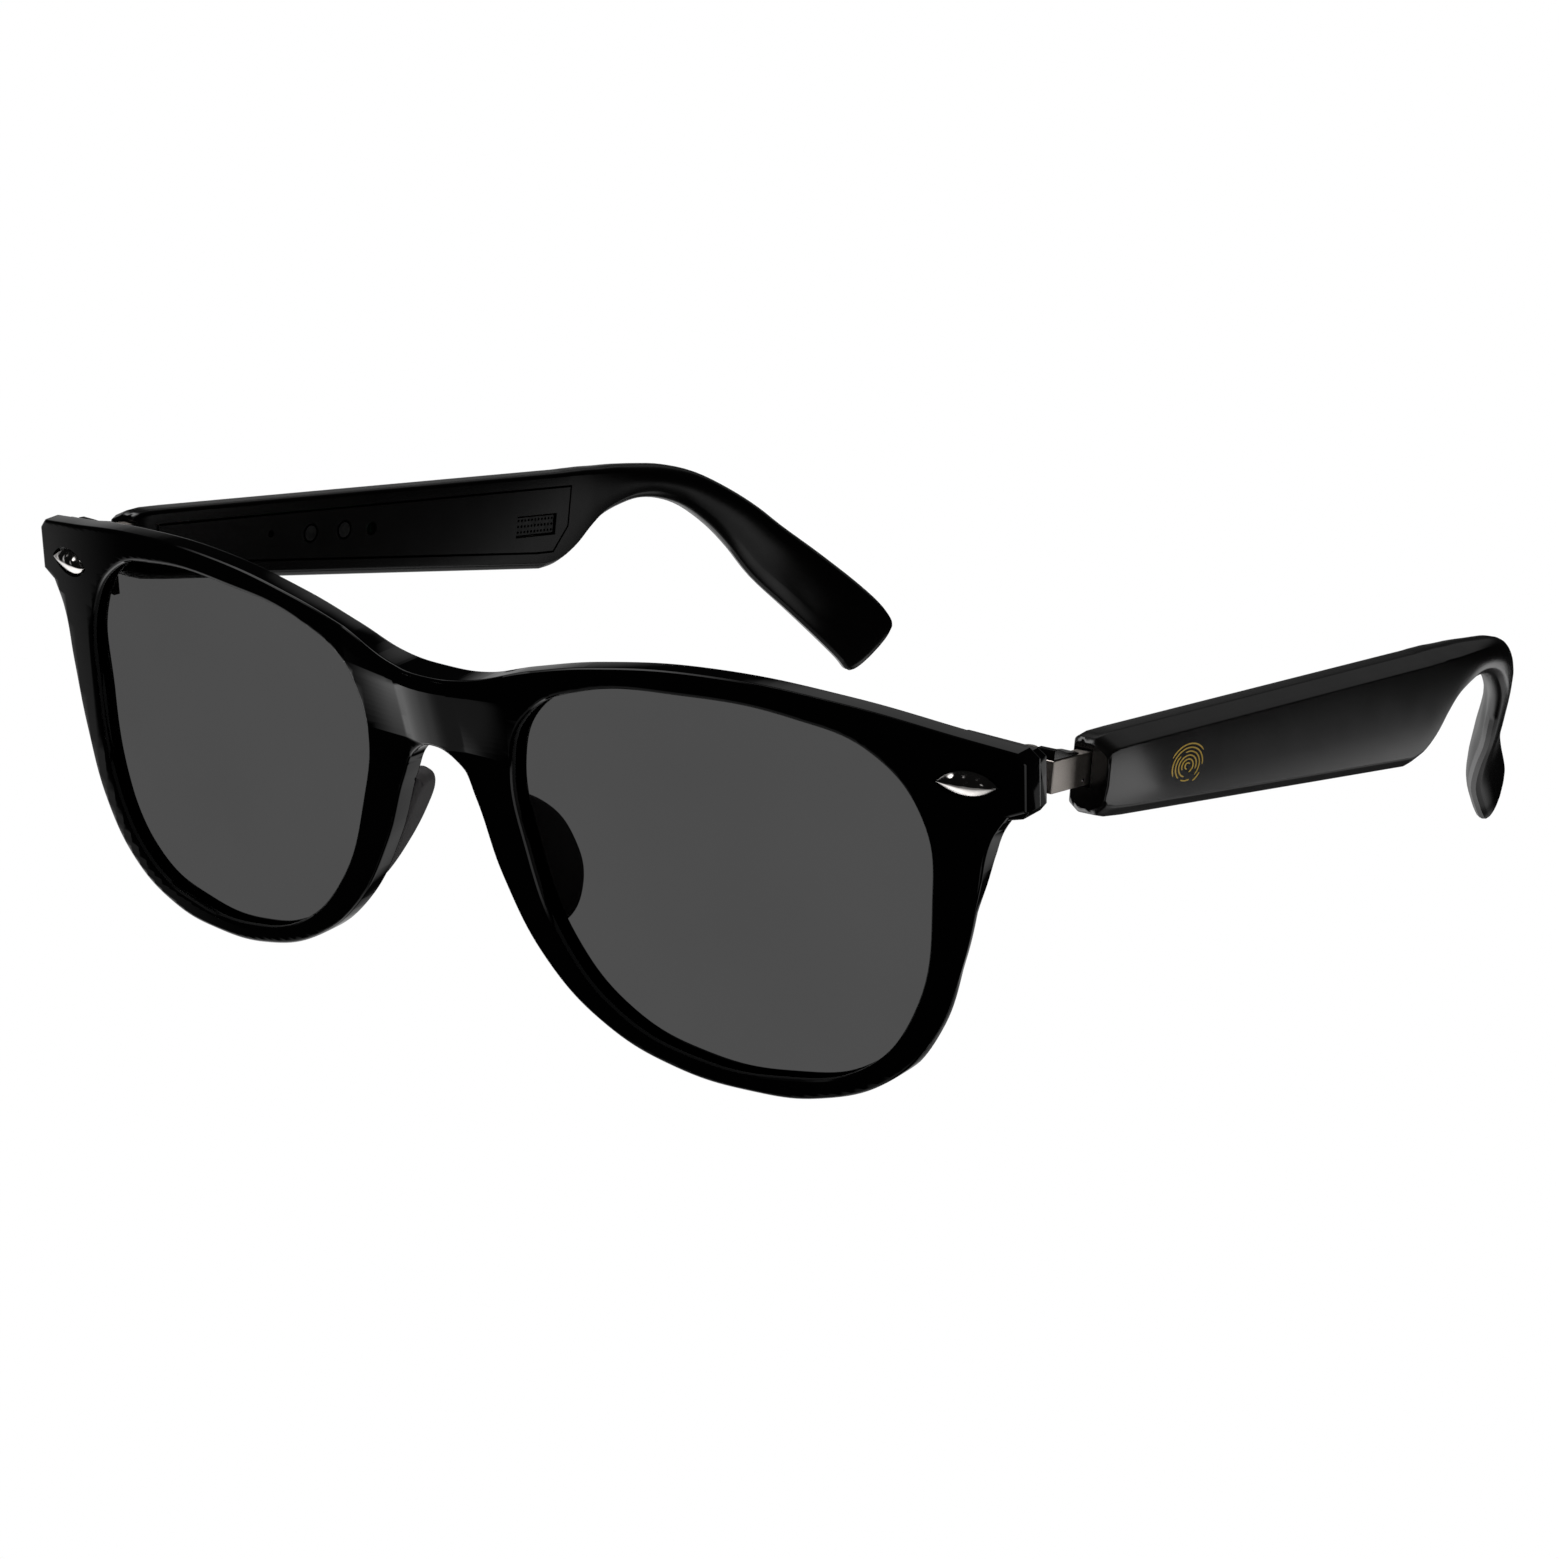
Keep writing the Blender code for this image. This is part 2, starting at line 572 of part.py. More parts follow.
def make_cover():
    """The inner cover, flush with the shell, with holes for what looks or sounds out of it."""
    inner, outer = cover_faces()
    outline = [(along, up, True) for along, up in (
        (3.4 + GAP, 2.5 - GAP), (79.0 - GAP, 2.5 - GAP), (79.0 - GAP, -3.1), (76.2, -6.7 + GAP),
        (73.0, -6.7 + GAP), (3.4 + GAP, -2.6 + GAP))]
    cover = add_part("temple_cover_left", side_plate(outline, outer - inner, (outer + inner) / 2),
                     BLACK_SATIN, TEMPLE)
    for along in CONTACT_PLACES.values():
        combine(cover, cover_hole(CONTACT_RADIUS + GAP, along, CONTACT_HEIGHT))
    combine(cover, cover_hole(STATUS_LIGHT_RADIUS + GAP, *STATUS_LIGHT_PLACE))
    combine(cover, cover_hole(MICROPHONE_HOLE_RADIUS, *MICROPHONE_PLACE))
    ends, height = SOUND_SLOT
    combine(cover, box_across((inner - OVERRUN, outer + OVERRUN), ends, height))
    return cover


def make_link():
    """The metal link from the hinge's eye to the rod that the temple's spring pulls on."""
    low, high = LINK_EYE_Z
    eye = cylinder(KNUCKLE_RADIUS, (PIN_X, PIN_Y, low), (PIN_X, PIN_Y, high))
    eye.transform(LINK_FRAME.inverted())
    link = add_part("hinge_link_left", eye, STEEL, LINK)
    web = box((PIN_X, PIN_Y - 1.2, low), (PIN_X + 3.2, PIN_Y + 1.2, high))
    web.transform(LINK_FRAME.inverted())
    combine(link, web, "UNION")
    height = (LINK_MIDDLE_Z - LINK_HALF_HEIGHT, LINK_MIDDLE_Z + LINK_HALF_HEIGHT)
    combine(link, in_link(box_across(LINK_FACES, LINK_LENGTH, height)), "UNION")
    start, end = ROD_LENGTH
    rod = cylinder(ROD_RADIUS, (ROD_X, start, LINK_MIDDLE_Z), (ROD_X, end, LINK_MIDDLE_Z), STEM_STEPS)
    combine(link, in_link(rod), "UNION")
    head_start = (ROD_X, ROD_HEAD_START, LINK_MIDDLE_Z)
    head = cylinder(ROD_HEAD_RADIUS, head_start, (ROD_X, end, LINK_MIDDLE_Z), STEM_STEPS)
    combine(link, in_link(head), "UNION")
    bore = cylinder(PIN_BORE_RADIUS, (PIN_X, PIN_Y, low - 3), (PIN_X, PIN_Y, high + 3))
    bore.transform(LINK_FRAME.inverted())
    combine(link, bore)
    return link


def make_link_cap():
    """The black cap over the link: a wedge that sits on its top and runs down its inner side."""
    inner, outer = LINK_CAP_FACES
    wedge = side_plate(LINK_CAP_OUTLINE, outer - inner, (outer + inner) / 2)
    cap = add_part("hinge_cap_left", in_link(wedge), BLACK_SATIN, LINK)
    link_inner, link_top = LINK_FACES[0] - GAP, LINK_MIDDLE_Z + LINK_HALF_HEIGHT + GAP
    combine(cap, in_link(box_across((link_inner, outer + OVERRUN), (-9.0, 3.0), (-3.0, link_top))))
    combine(cap, in_link(box_across((link_inner, outer + OVERRUN), (LINK_CAP_NOTCH_END, 3.0), (-3.0, 6.0))))
    return cap


def in_link(mesh):
    """Move a mesh from the temple's frame to the link's, whose origin is on the hinge pin."""
    mesh.transform(LINK_FRAME.inverted() @ TEMPLE_FRAME)
    return mesh


def make_socket():
    """The steel stop in the temple that the link's rod slides through."""
    wall = pocket_faces()
    socket = add_part("spring_socket_left",
                      box_across((wall[0] + GAP, wall[1] - GAP), SOCKET_ENDS, (-2.2, 2.1)), STEEL, TEMPLE)
    bore_start = (ROD_X, SOCKET_ENDS[0] - OVERRUN, LINK_MIDDLE_Z)
    bore_end = (ROD_X, SOCKET_ENDS[1] + OVERRUN, LINK_MIDDLE_Z)
    combine(socket, cylinder(ROD_RADIUS + GAP, bore_start, bore_end, STEM_STEPS))
    return socket


def make_spring():
    """The coil round the link's rod, drawn pressed together so that the rod's head clears it."""
    points_per_turn = 10
    count = SPRING_TURNS * points_per_turn + 1
    curve = bpy.data.curves.new("spring", "CURVE")
    curve.dimensions = "3D"
    curve.bevel_depth = SPRING_WIRE * MM
    curve.bevel_resolution = 1
    curve.use_fill_caps = True
    spline = curve.splines.new("POLY")
    spline.points.add(count - 1)
    for step, point in enumerate(spline.points):
        turn = 2 * math.pi * step / points_per_turn
        along = SPRING_ENDS[0] + (SPRING_ENDS[1] - SPRING_ENDS[0]) * step / (count - 1)
        across = ROD_X + SPRING_RADIUS * math.cos(turn)
        up = LINK_MIDDLE_Z + SPRING_RADIUS * math.sin(turn)
        point.co = (across * MM, along * MM, up * MM, 1.0)
    holder = bpy.data.objects.new("spring", curve)
    PARTS.objects.link(holder)
    bpy.context.view_layer.update()
    seen = holder.evaluated_get(bpy.context.evaluated_depsgraph_get())
    mesh = bpy.data.meshes.new_from_object(seen)
    bpy.data.objects.remove(holder, do_unlink=True)
    shape = bmesh.new()
    shape.from_mesh(mesh)
    bmesh.ops.remove_doubles(shape, verts=shape.verts, dist=0.002 * MM)
    bmesh.ops.recalc_face_normals(shape, faces=shape.faces)
    shape.to_mesh(mesh)
    shape.free()
    return add_part("hinge_spring_left", mesh, STEEL, TEMPLE)


def make_board():
    """The circuit board with its radio module and two smaller chips."""
    board = add_part("circuit_board_left", box_across((-0.3, 0.4), (19.5, 43.5), (-2.2, 2.0)),
                     BOARD_GREEN, TEMPLE)
    chips = [((25.5, 28.5), (-1.4, 1.4)), ((32.0, 34.6), (-1.9, 0.6)), ((37.6, 42.0), (-1.4, 1.5))]
    for ends, height in chips:
        combine(board, box_across((0.2, 0.9), ends, height), "UNION")
    return board


def make_block(name, faces, ends, height, material):
    """A plain electronic part in its temple: a box given in the temple's frame."""
    return add_part(name, box_across(faces, ends, height), material, TEMPLE)


def make_electronics():
    """What lies in the pocket behind the board: touch film, battery, speaker and microphone."""
    along, up = MICROPHONE_PLACE
    behind_cover = cover_faces()[1] + 0.2
    return [
        make_block("touch_pad_left", (1.35, 1.6), (14.6, 22.6), (-2.0, 1.9), COPPER),
        make_block("battery_left", (-1.1, 0.9), (45.5, 65.5), (-3.6, 2.1), FOIL),
        make_block("speaker_left", (-0.75, 0.9), (67.5, 77.5), (-5.2, 1.9), STEEL),
        make_block("microphone_left", (behind_cover, behind_cover + 0.6), (along - 1.3, along + 1.3),
                   (up - 0.9, up + 0.9), BRASS),
    ]


def make_cover_fittings():
    """What shows in the inner cover: the speaker's grille, two contacts and a light pipe."""
    inner, outer = cover_faces()
    ends, height = SOUND_SLOT
    made = [make_block("speaker_grille_left", (inner + 0.3, outer - 0.2), (ends[0] + GAP, ends[1] - GAP),
                       (height[0] + GAP, height[1] - GAP), STEEL)]
    back = outer + 0.6
    for name, along in CONTACT_PLACES.items():
        face, rear = (inner, along, CONTACT_HEIGHT), (back, along, CONTACT_HEIGHT)
        contact = cylinder(CONTACT_RADIUS, face, rear, HOLE_STEPS)
        made.append(add_part("charging_contact_" + name + "_left", contact, BRASS, TEMPLE))
    along, up = STATUS_LIGHT_PLACE
    light = cylinder(STATUS_LIGHT_RADIUS, (inner, along, up), (back, along, up), HOLE_STEPS)
    made.append(add_part("status_light_left", light, LIGHT_PIPE, TEMPLE))
    return made


# ---------------------------------------------------------------- the other side, and the stance

def place_in_front(item):
    """An object's place in the front's own frame."""
    return STAND.matrix_world.inverted() @ item.matrix_world


def mirror_to_right(item, parent):
    """The right-hand twin of a left-hand piece: its finished mesh, mirrored in the middle plane."""
    seen = item.evaluated_get(bpy.context.evaluated_depsgraph_get())
    mesh = bpy.data.meshes.new_from_object(seen)
    mesh.transform(place_in_front(item))
    mesh.transform(Matrix.Diagonal((-1.0, 1.0, 1.0, 1.0)))
    mesh.transform(place_in_front(parent).inverted())
    mesh.flip_normals()
    add_part(item.name.replace("_left", "_right"), mesh, item.data.materials[0], parent)


def settle():
    """Put the middle of the standing pair's base at the origin."""
    bpy.context.view_layer.update()
    depsgraph = bpy.context.evaluated_depsgraph_get()
    corners = []
    for item in PARTS.objects:
        if item.type == "MESH":
            seen = item.evaluated_get(depsgraph)
            corners += [seen.matrix_world @ vertex.co for vertex in seen.data.vertices]
    low = Vector([min(corner[axis] for corner in corners) for axis in range(3)])
    high = Vector([max(corner[axis] for corner in corners) for axis in range(3)])
    STAND.location = (-(low.x + high.x) / 2, -(low.y + high.y) / 2, -low.z)


clear_scene()
PARTS = new_collection("smart_glasses")
CUTTERS = new_collection("cutters")

BLACK_GLOSS = new_material("black_gloss", (0.006, 0.006, 0.007), 0.12)
BLACK_SATIN = new_material("black_satin", (0.012, 0.011, 0.011), 0.35)
TINTED = new_material("tinted_lens", (0.075, 0.075, 0.075), 0.03, transmission=0.6)
CHROME = new_material("chrome", (0.72, 0.7, 0.68), 0.1, metallic=1.0)
STEEL = new_material("brushed_steel", (0.52, 0.48, 0.44), 0.38, metallic=1.0)
BRASS = new_material("gold_plate", (0.78, 0.6, 0.3), 0.3, metallic=1.0)
COPPER = new_material("copper_film", (0.7, 0.36, 0.2), 0.4, metallic=1.0)
FOIL = new_material("battery_foil", (0.6, 0.61, 0.63), 0.45, metallic=0.8)
BOARD_GREEN = new_material("circuit_board", (0.02, 0.12, 0.05), 0.5)
LIGHT_PIPE = new_material("light_pipe", (0.75, 0.78, 0.8), 0.2)

STAND = add_empty("stand", None, rotation=(math.radians(STAND_TILT_DEG), 0.0, 0.0))
LINK = add_empty("left_hinge_axis", STAND, (PIN_X, PIN_Y, 0.0))
RIGHT_LINK = add_empty("right_hinge_axis", STAND, (-PIN_X, PIN_Y, 0.0))
LINK_FRAME = Matrix.Translation(Vector((PIN_X, PIN_Y, 0.0)) * MM)
TEMPLE_FRAME = (Matrix.Translation(Vector(TEMPLE_ORIGIN) * MM)
                @ Matrix.Rotation(math.radians(TEMPLE_TOE_IN_DEG), 4, "Z")
                @ Matrix.Rotation(math.radians(-TEMPLE_DROP_DEG), 4, "X"))
TEMPLE = add_empty("left_temple_axis", LINK)
TEMPLE.matrix_local = LINK_FRAME.inverted() @ TEMPLE_FRAME
RIGHT_TEMPLE = add_empty("right_temple_axis", RIGHT_LINK)
bpy.context.view_layer.update()

make_front()
front_pieces = [make_lens(), make_nose_pad(), make_rivet(), make_front_hinge(), make_hinge_pin()]
link_pieces = [make_link(), make_link_cap()]
temple_pieces = [make_shell(), make_cover(), make_socket(), make_spring(), make_board()]
temple_pieces += make_electronics() + make_cover_fittings()
bpy.context.view_layer.update()
for piece in front_pieces:
    mirror_to_right(piece, STAND)
for piece in link_pieces:
    mirror_to_right(piece, RIGHT_LINK)
for piece in temple_pieces:
    mirror_to_right(piece, RIGHT_TEMPLE)
settle()
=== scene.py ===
"""Smart glasses: the looks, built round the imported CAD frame.

Sizes are in millimetres in the front's own upright frame (X to the wearer's left, Y back, Z up)
or in a temple's frame (across, along, up), and STAND and TEMPLE below carry them into the world.
The camera, floor and materials are in metres.
"""
import json
import math

import bmesh
import bpy
from mathutils import Matrix, Vector
from mathutils.geometry import tessellate_polygon


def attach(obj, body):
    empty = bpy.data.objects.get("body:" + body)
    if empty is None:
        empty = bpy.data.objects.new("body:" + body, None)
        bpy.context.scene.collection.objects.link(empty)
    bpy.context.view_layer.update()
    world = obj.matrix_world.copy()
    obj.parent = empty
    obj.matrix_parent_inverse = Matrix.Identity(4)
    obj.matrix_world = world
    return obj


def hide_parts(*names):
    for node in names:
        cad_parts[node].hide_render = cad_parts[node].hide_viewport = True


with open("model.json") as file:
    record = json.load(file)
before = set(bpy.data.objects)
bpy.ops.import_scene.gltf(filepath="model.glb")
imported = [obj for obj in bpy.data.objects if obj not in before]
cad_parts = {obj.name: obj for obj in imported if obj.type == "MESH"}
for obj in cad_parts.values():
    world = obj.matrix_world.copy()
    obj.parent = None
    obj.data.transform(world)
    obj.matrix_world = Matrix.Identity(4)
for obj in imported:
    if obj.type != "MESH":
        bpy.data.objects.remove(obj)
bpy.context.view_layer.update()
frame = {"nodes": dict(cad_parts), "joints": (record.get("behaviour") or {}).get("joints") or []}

MM = 0.001
SIDES = ("left", "right")

# ---------------------------------------------------------------- frames that the CAD gives

FOLD = next(joint for joint in frame["joints"] if joint["name"] == "left_temple_fold")
PIN = (68.2, 16.6, 15.25)               # middle of the left hinge pin's eye, in the front's frame
TILT = math.atan2(-FOLD["axis"][1], FOLD["axis"][2])
STAND_TURN = Matrix.Rotation(TILT, 4, "X")
STAND = Matrix.Translation(Vector(FOLD["pos_m"]) - STAND_TURN @ (Vector(PIN) * MM)) @ STAND_TURN

TEMPLE_ORIGIN = (71.5, 22.8, 14.1)
TEMPLE_TOE_IN_DEG = 3.2
TEMPLE_DROP_DEG = 10.9
TEMPLE = (STAND @ Matrix.Translation(Vector(TEMPLE_ORIGIN) * MM)
          @ Matrix.Rotation(math.radians(TEMPLE_TOE_IN_DEG), 4, "Z")
          @ Matrix.Rotation(math.radians(-TEMPLE_DROP_DEG), 4, "X"))
MIRROR = Matrix.Diagonal((-1.0, 1.0, 1.0, 1.0))
SCALE = Matrix.Diagonal((MM, MM, MM, 1.0))
SWAP_X_AND_Y = Matrix(((0, 1, 0, 0), (1, 0, 0, 0), (0, 0, 1, 0), (0, 0, 0, 1)))

# ---------------------------------------------------------------- sizes

FRONT_THICKNESS = 2.8
ENDPIECE_THICKNESS = 4.8
ENDPIECE_START = 1.0
FRONT_ROUND = 0.35          # the small radius round the front's outer front edge
BACK_ROUND = 0.5            # and round its back edges
OPENING_ROUND = 0.45        # and round the lens openings, in front and behind
OPENING_BACK_ROUND = 0.3
ENDPIECE_ROUND = 0.2
WRAP_PER_MM = 0.00198
WRAP_STATION_STEP = 1.5
FRONT_HALF_WIDTH = 72.4
SIDE_DRAFT = 1.1
DRAFT_ACROSS = (59.0, 65.0)
DRAFT_UP = (8.5, 1.5)

# An outline's knots are (across, up), with True after them at a corner, and curves join the others.
# The front's outline is its left half, from the top of the middle round to the bottom of the middle.
FRONT_OUTLINE = [
    (0.0, 18.5), (6.0, 18.9), (13.0, 20.9), (22.0, 23.0),
    (36.0, 24.5), (52.0, 23.7), (66.0, 21.5), (71.3, 20.6, True),
    (FRONT_HALF_WIDTH, 19.5, True), (FRONT_HALF_WIDTH, 14.2, True), (70.1, 13.3, True),
    (68.3, 10.2), (67.1, 4.0), (65.2, -4.5), (62.0, -13.0),
    (56.5, -19.2), (48.5, -22.6), (40.0, -23.3), (31.0, -22.4),
    (22.0, -19.2), (14.3, -13.1), (8.6, -4.0), (5.3, 4.6),
    (3.3, 8.3), (0.0, 9.8),
]
ENDPIECE_OUTLINE = [
    (63.6, 21.0, True), (71.0, 19.9, True), (71.9, 19.1, True), (71.9, 13.8, True),
    (71.3, 13.0, True), (67.5, 12.2, True), (63.6, 11.8, True),
]
LENS_OUTLINE = [
    (61.9, 2.6), (60.9, 12.0), (55.6, 18.4), (46.5, 21.1),
    (33.5, 21.6), (20.5, 19.9), (13.3, 16.0), (10.8, 9.8),
    (12.3, 0.0), (16.6, -10.4), (24.0, -17.6), (33.5, -20.8),
    (43.5, -21.0), (53.5, -18.2), (59.6, -10.6),
]
LENS_CENTRE = (36.3, 0.3)
LENS_GROOVE = 1.0
LENS_BITE = 0.65            # how far the lens reaches into its groove
LENS_THICKNESS = 1.0
LENS_SETBACK = 1.0
LENS_EDGE = 0.15
GAP = 0.3
OVERRUN = 1.0               # how far a cutter starts outside the face that it cuts

# The bridge stands proud of the rims: its height, half the width of its flat, where its slopes
# meet the rims, and the height of the crease under the brow at the flat and at the rims.
BRIDGE_RISE = (0.1, 1.8)
BRIDGE_FLAT = 4.1
BRIDGE_FOOT = 13.6
BRIDGE_BOTTOM = 9.8
CREASE_UP = (16.9, 18.7)
BROW_DROP = 0.25            # the share of its height that the bridge loses above the crease
BROW_MARGIN = 0.3
BROW_KNOTS = 5              # how many of the outline's first knots run along the brow
BRIDGE_CROWN = 0.6          # how much the flat bows forward in its middle
BRIDGE_ROOT = 1.4           # the depth in the plate where the rise has died away

PAD_THICKNESS = 2.4
PAD_DEPTH = 5.6
PAD_LENGTH = 15.8
PAD_PLACE = (10.0, -2.9)
PAD_LEAN_DEG = 29.0
PAD_SPLAY_DEG = 16.0
PAD_ROOT = 1.2              # how far its foot reaches past the half oval
PAD_ROOT_SHARE = 0.97       # the foot's length against the oval's
PAD_SHOULDER = (0.72, 0.66)  # a knot on the oval, as shares of its depth and half length
PAD_EDGE = 0.95
PAD_EDGE_STEPS = 5
PAD_CLEARANCE = 0.65

RIVET_X = 66.0
RIVET_Z = 16.6
RIVET_HALF_LENGTH = 3.6
RIVET_HALF_HEIGHT = 1.45
RIVET_RECESS = 0.6
RIVET_RIM = 0.45            # height of the dome's rim over the floor of the recess
RIVET_BASE = 0.05           # and of its underside
RIVET_POINT = 0.03          # half the height that is left at its two points
RIVET_DOME = 0.75
RIVET_GRID = (60, 20)       # faces along it and across it

# Three bosses on the rivet. Places and sizes are shares of its half length and half height.
RIVET_BOSSES = (-0.45, -0.02, 0.42)
RIVET_BOSS_UP = 0.45
RIVET_BOSS_SIZE = (0.13, 0.24)
RIVET_BOSS_HEIGHT = 0.2

TEMPLE_THICKNESS = 4.8
TEMPLE_TOP = 4.3
TEMPLE_FRONT_BOTTOM = -4.55
TEMPLE_REAR_BOTTOM = -9.1
HOUSING_LENGTH = 75.0
HOOK_FREE = 93.0            # from here on the hook's sections stand square to its middle line
TOP_OUTER_CHAMFER = (2.2, 1.1)
TOP_INNER_CHAMFER = (0.4, 0.4)
BOTTOM_INNER_CHAMFER = (1.2, 0.9)
BOTTOM_OUTER_CHAMFER = (1.3, 1.3)
HOUSING_EDGE = 0.2

# How the housing narrows to its front end: along, and how far the top, bottom and inner face draw in.
FRONT_END = [(0.0, 0.8, 1.0, 0.5), (0.7, 0.3, 0.4, 0.1), (2.5, 0.05, 0.1, 0.0), (6.0, 0.0, 0.0, 0.0)]

# Sections of the ear hook: along, up and across of the middle, height, thickness, twist in degrees,
# and roundness, which goes from 0 for a chamfered block to 1 for an oval.
HOOK_SECTIONS = [
    (77.6, -2.15, 0.0, 12.9, 4.8, 0.0, 0.0),
    (80.2, -1.35, 0.0, 11.5, 4.8, 0.0, 0.03),
    (83.0, -0.1, 0.0, 9.2, 4.75, 0.0, 0.1),
    (86.0, 0.85, 0.0, 7.2, 4.65, 0.0, 0.22),
    (89.8, 1.5, -0.1, 5.9, 4.5, 0.0, 0.45),
    (94.0, 1.8, -0.4, 4.9, 4.3, 0.0, 0.8),
    (98.6, 1.5, -0.85, 4.8, 4.1, 1.0, 1.0),
    (103.8, 0.2, -1.7, 5.3, 3.9, 5.0, 1.0),
    (108.9, -2.4, -3.1, 6.2, 3.7, 10.0, 1.0),
    (113.0, -5.4, -4.8, 7.4, 3.4, 13.0, 1.0),
    (116.8, -9.0, -6.8, 8.7, 3.3, 13.0, 1.0),
    (121.8, -13.0, -9.5, 9.6, 3.5, 8.0, 1.0),
    (126.7, -16.9, -11.8, 10.3, 3.6, 6.0, 1.0),
    (131.0, -20.2, -13.0, 10.5, 3.6, 9.0, 1.0),
    (133.2, -22.2, -13.3, 10.4, 3.5, 11.0, 1.0),
]
TIP_SECTIONS = [
    (133.8, -22.8, -13.3, 9.9, 3.1, 11.0, 1.0), (134.2, -23.2, -13.3, 9.1, 2.5, 11.0, 1.0),
    (134.45, -23.45, -13.3, 7.7, 1.7, 11.0, 1.0), (134.55, -23.55, -13.3, 5.2, 0.8, 11.0, 1.0),
]
OVAL_FULLNESS = 0.93        # below 1 the ovals are a little squarer than an ellipse
SECTION_ANGLES = (-32, 32, 62, 118, 148, 212, 242, 298)
CORNER_ROUND = 0.22         # how far a corner's rounding reaches along its edges
CORNER_SPREAD_DEG = 3       # half the angle that a corner's three points take up on the oval
ROWS_BETWEEN = 4

OUTER_WALL = 1.2
POCKET_OUTLINE = [(3.4, 2.5), (79.0, 2.5), (79.0, -3.2), (76.4, -6.7), (73.0, -6.7), (3.4, -2.6)]
LINK_HALF_HEIGHT = 1.78
LINK_MIDDLE_Z = 0.82
LINK_UP = (LINK_MIDDLE_Z - LINK_HALF_HEIGHT, LINK_MIDDLE_Z + LINK_HALF_HEIGHT)
LINK_FACES = (-1.7, 0.1)
LINK_ENDS = (-7.5, 4.5)
LINK_EDGE = 0.12
LINK_MOUTH_DEPTH = 5.0      # of the link's slot in the housing
LINK_TAB = ((-3.9, -7.3, 0.1), (-0.6, -5.6, 1.9))
LINK_EYE_Z = (14.15, 16.35)
KNUCKLE_RADIUS = 1.6
PIN_END_PLACE = (LINK_FACES[1], -1.05, LINK_MIDDLE_Z - 1.15)
PIN_END_RADII = (0.12, 0.2, 0.2)
CAP_OUTLINE = [(-7.4, 2.63), (-7.4, 3.7), (-6.6, 3.75), (-4.6, 3.1), (-2.2, 2.85), (-2.2, 2.63)]
CAP_FACES = (-2.2, 0.0)
CAP_EDGE = 0.1

SOUND_SLOT = ((68.6, 76.4), (-4.2, -1.2))
GRILLE_HOLES = (11, 3)
GRILLE_HOLE_RADIUS = 0.2
GRILLE_SETBACK = 0.3
GRILLE_THICKNESS = 0.5

# The touch mark: a whorl of our own, ridge by ridge, as (radius, first angle, last angle).
MARK_CENTRE = (17.7, -0.9)
MARK_STRETCH = (1.85, 1.12)
MARK_WIRE = 0.075           # half the width of a ridge
MARK_RISE = 0.05
MARK_SUNK = 0.01            # depth of a ridge's foot in the housing
MARK_END_TAPER = 0.55
MARK_STEP_DEG = 9
MARK_SIDES = 6
MARK_RIDGES = [
    (2.20, 32, 146), (1.82, -22, 186), (1.82, 212, 244), (1.44, -44, 52), (1.44, 76, 228),
    (1.06, -72, 206), (1.44, 256, 300), (0.68, -24, 252), (0.30, -80, 150),
]

CURVE_STEPS = 10            # steps between two knots of an outline
SAME_POINT = 0.004          # points closer than this are one
CUT_TOLERANCE = 0.001
MITRE_LIMIT = 0.5
FACE_WEIGHT = 80            # how much large faces pull the shading of their corners


# ---------------------------------------------------------------- camera, studio and floor

CAMERA_AZIMUTH_DEG = 36.877
CAMERA_ELEVATION_DEG = 17.283
CAMERA_ROLL_DEG = 1.715
CAMERA_DISTANCE = 0.47013
CAMERA_TARGET = (0.04820, -0.07801, 0.03894)
CAMERA_LENS = 103.997
CAMERA_SENSOR = 36.0
CAMERA_CLIP_START = 0.01


def direction(azimuth_deg, elevation_deg):
    """A unit vector; azimuth 0 points to -Y, the side the lenses face, and 90 to +X."""
    azimuth, elevation = math.radians(azimuth_deg), math.radians(elevation_deg)
    return Vector((math.sin(azimuth) * math.cos(elevation), -math.cos(azimuth) * math.cos(elevation),
                   math.sin(elevation)))


def add_to_scene(item):
    bpy.context.scene.collection.objects.link(item)


def make_camera():
    back = direction(CAMERA_AZIMUTH_DEG, CAMERA_ELEVATION_DEG)
    level = Vector((0, 0, 1)).cross(back).normalized()
    upright = back.cross(level)
    roll = math.radians(CAMERA_ROLL_DEG)
    right = level * math.cos(roll) + upright * math.sin(roll)
    up = back.cross(right)
    place = Vector(CAMERA_TARGET) + back * CAMERA_DISTANCE
    data = bpy.data.cameras.new("camera")
    data.lens = CAMERA_LENS
    data.sensor_width = CAMERA_SENSOR
    data.clip_start = CAMERA_CLIP_START
    camera = bpy.data.objects.new("camera", data)
    add_to_scene(camera)
    camera.matrix_world = Matrix.Translation(place) @ Matrix((right, up, back)).transposed().to_4x4()
    bpy.context.scene.camera = camera


# Soft panels round the object: azimuth, elevation, and the half angles where the panel starts to
# fade and where it ends, all in degrees, and its brightness.
PANELS = {
    "left_wall": (-118.0, -24.0, 18.0, 43.0, 0.60),
    "low_left": (-95.0, -55.0, 15.0, 38.0, 1.20),
    "low_front": (-27.0, -60.0, 20.0, 27.5, 0.20),
    "under": (-60.0, -74.0, 8.0, 24.0, 0.55),
    "high_left": (-85.0, 58.0, 14.0, 30.0, 4.0),
    "high_back": (-152.0, 33.0, 5.0, 12.0, 0.42),
    "horizon_back": (-142.0, 4.0, 6.0, 14.0, 0.09),
    "temple_top": (-172.0, 22.0, 6.0, 18.0, 0.20),
    "right_front": (48.0, -14.0, 10.0, 26.0, 0.8),
    "low_right": (160.0, -42.0, 8.0, 20.0, 0.55),
}
BACKDROP_WHITE = 1.0
AMBIENT = 0.006
FLOOR_REACH = 1.5           # from the floor's middle to its edges
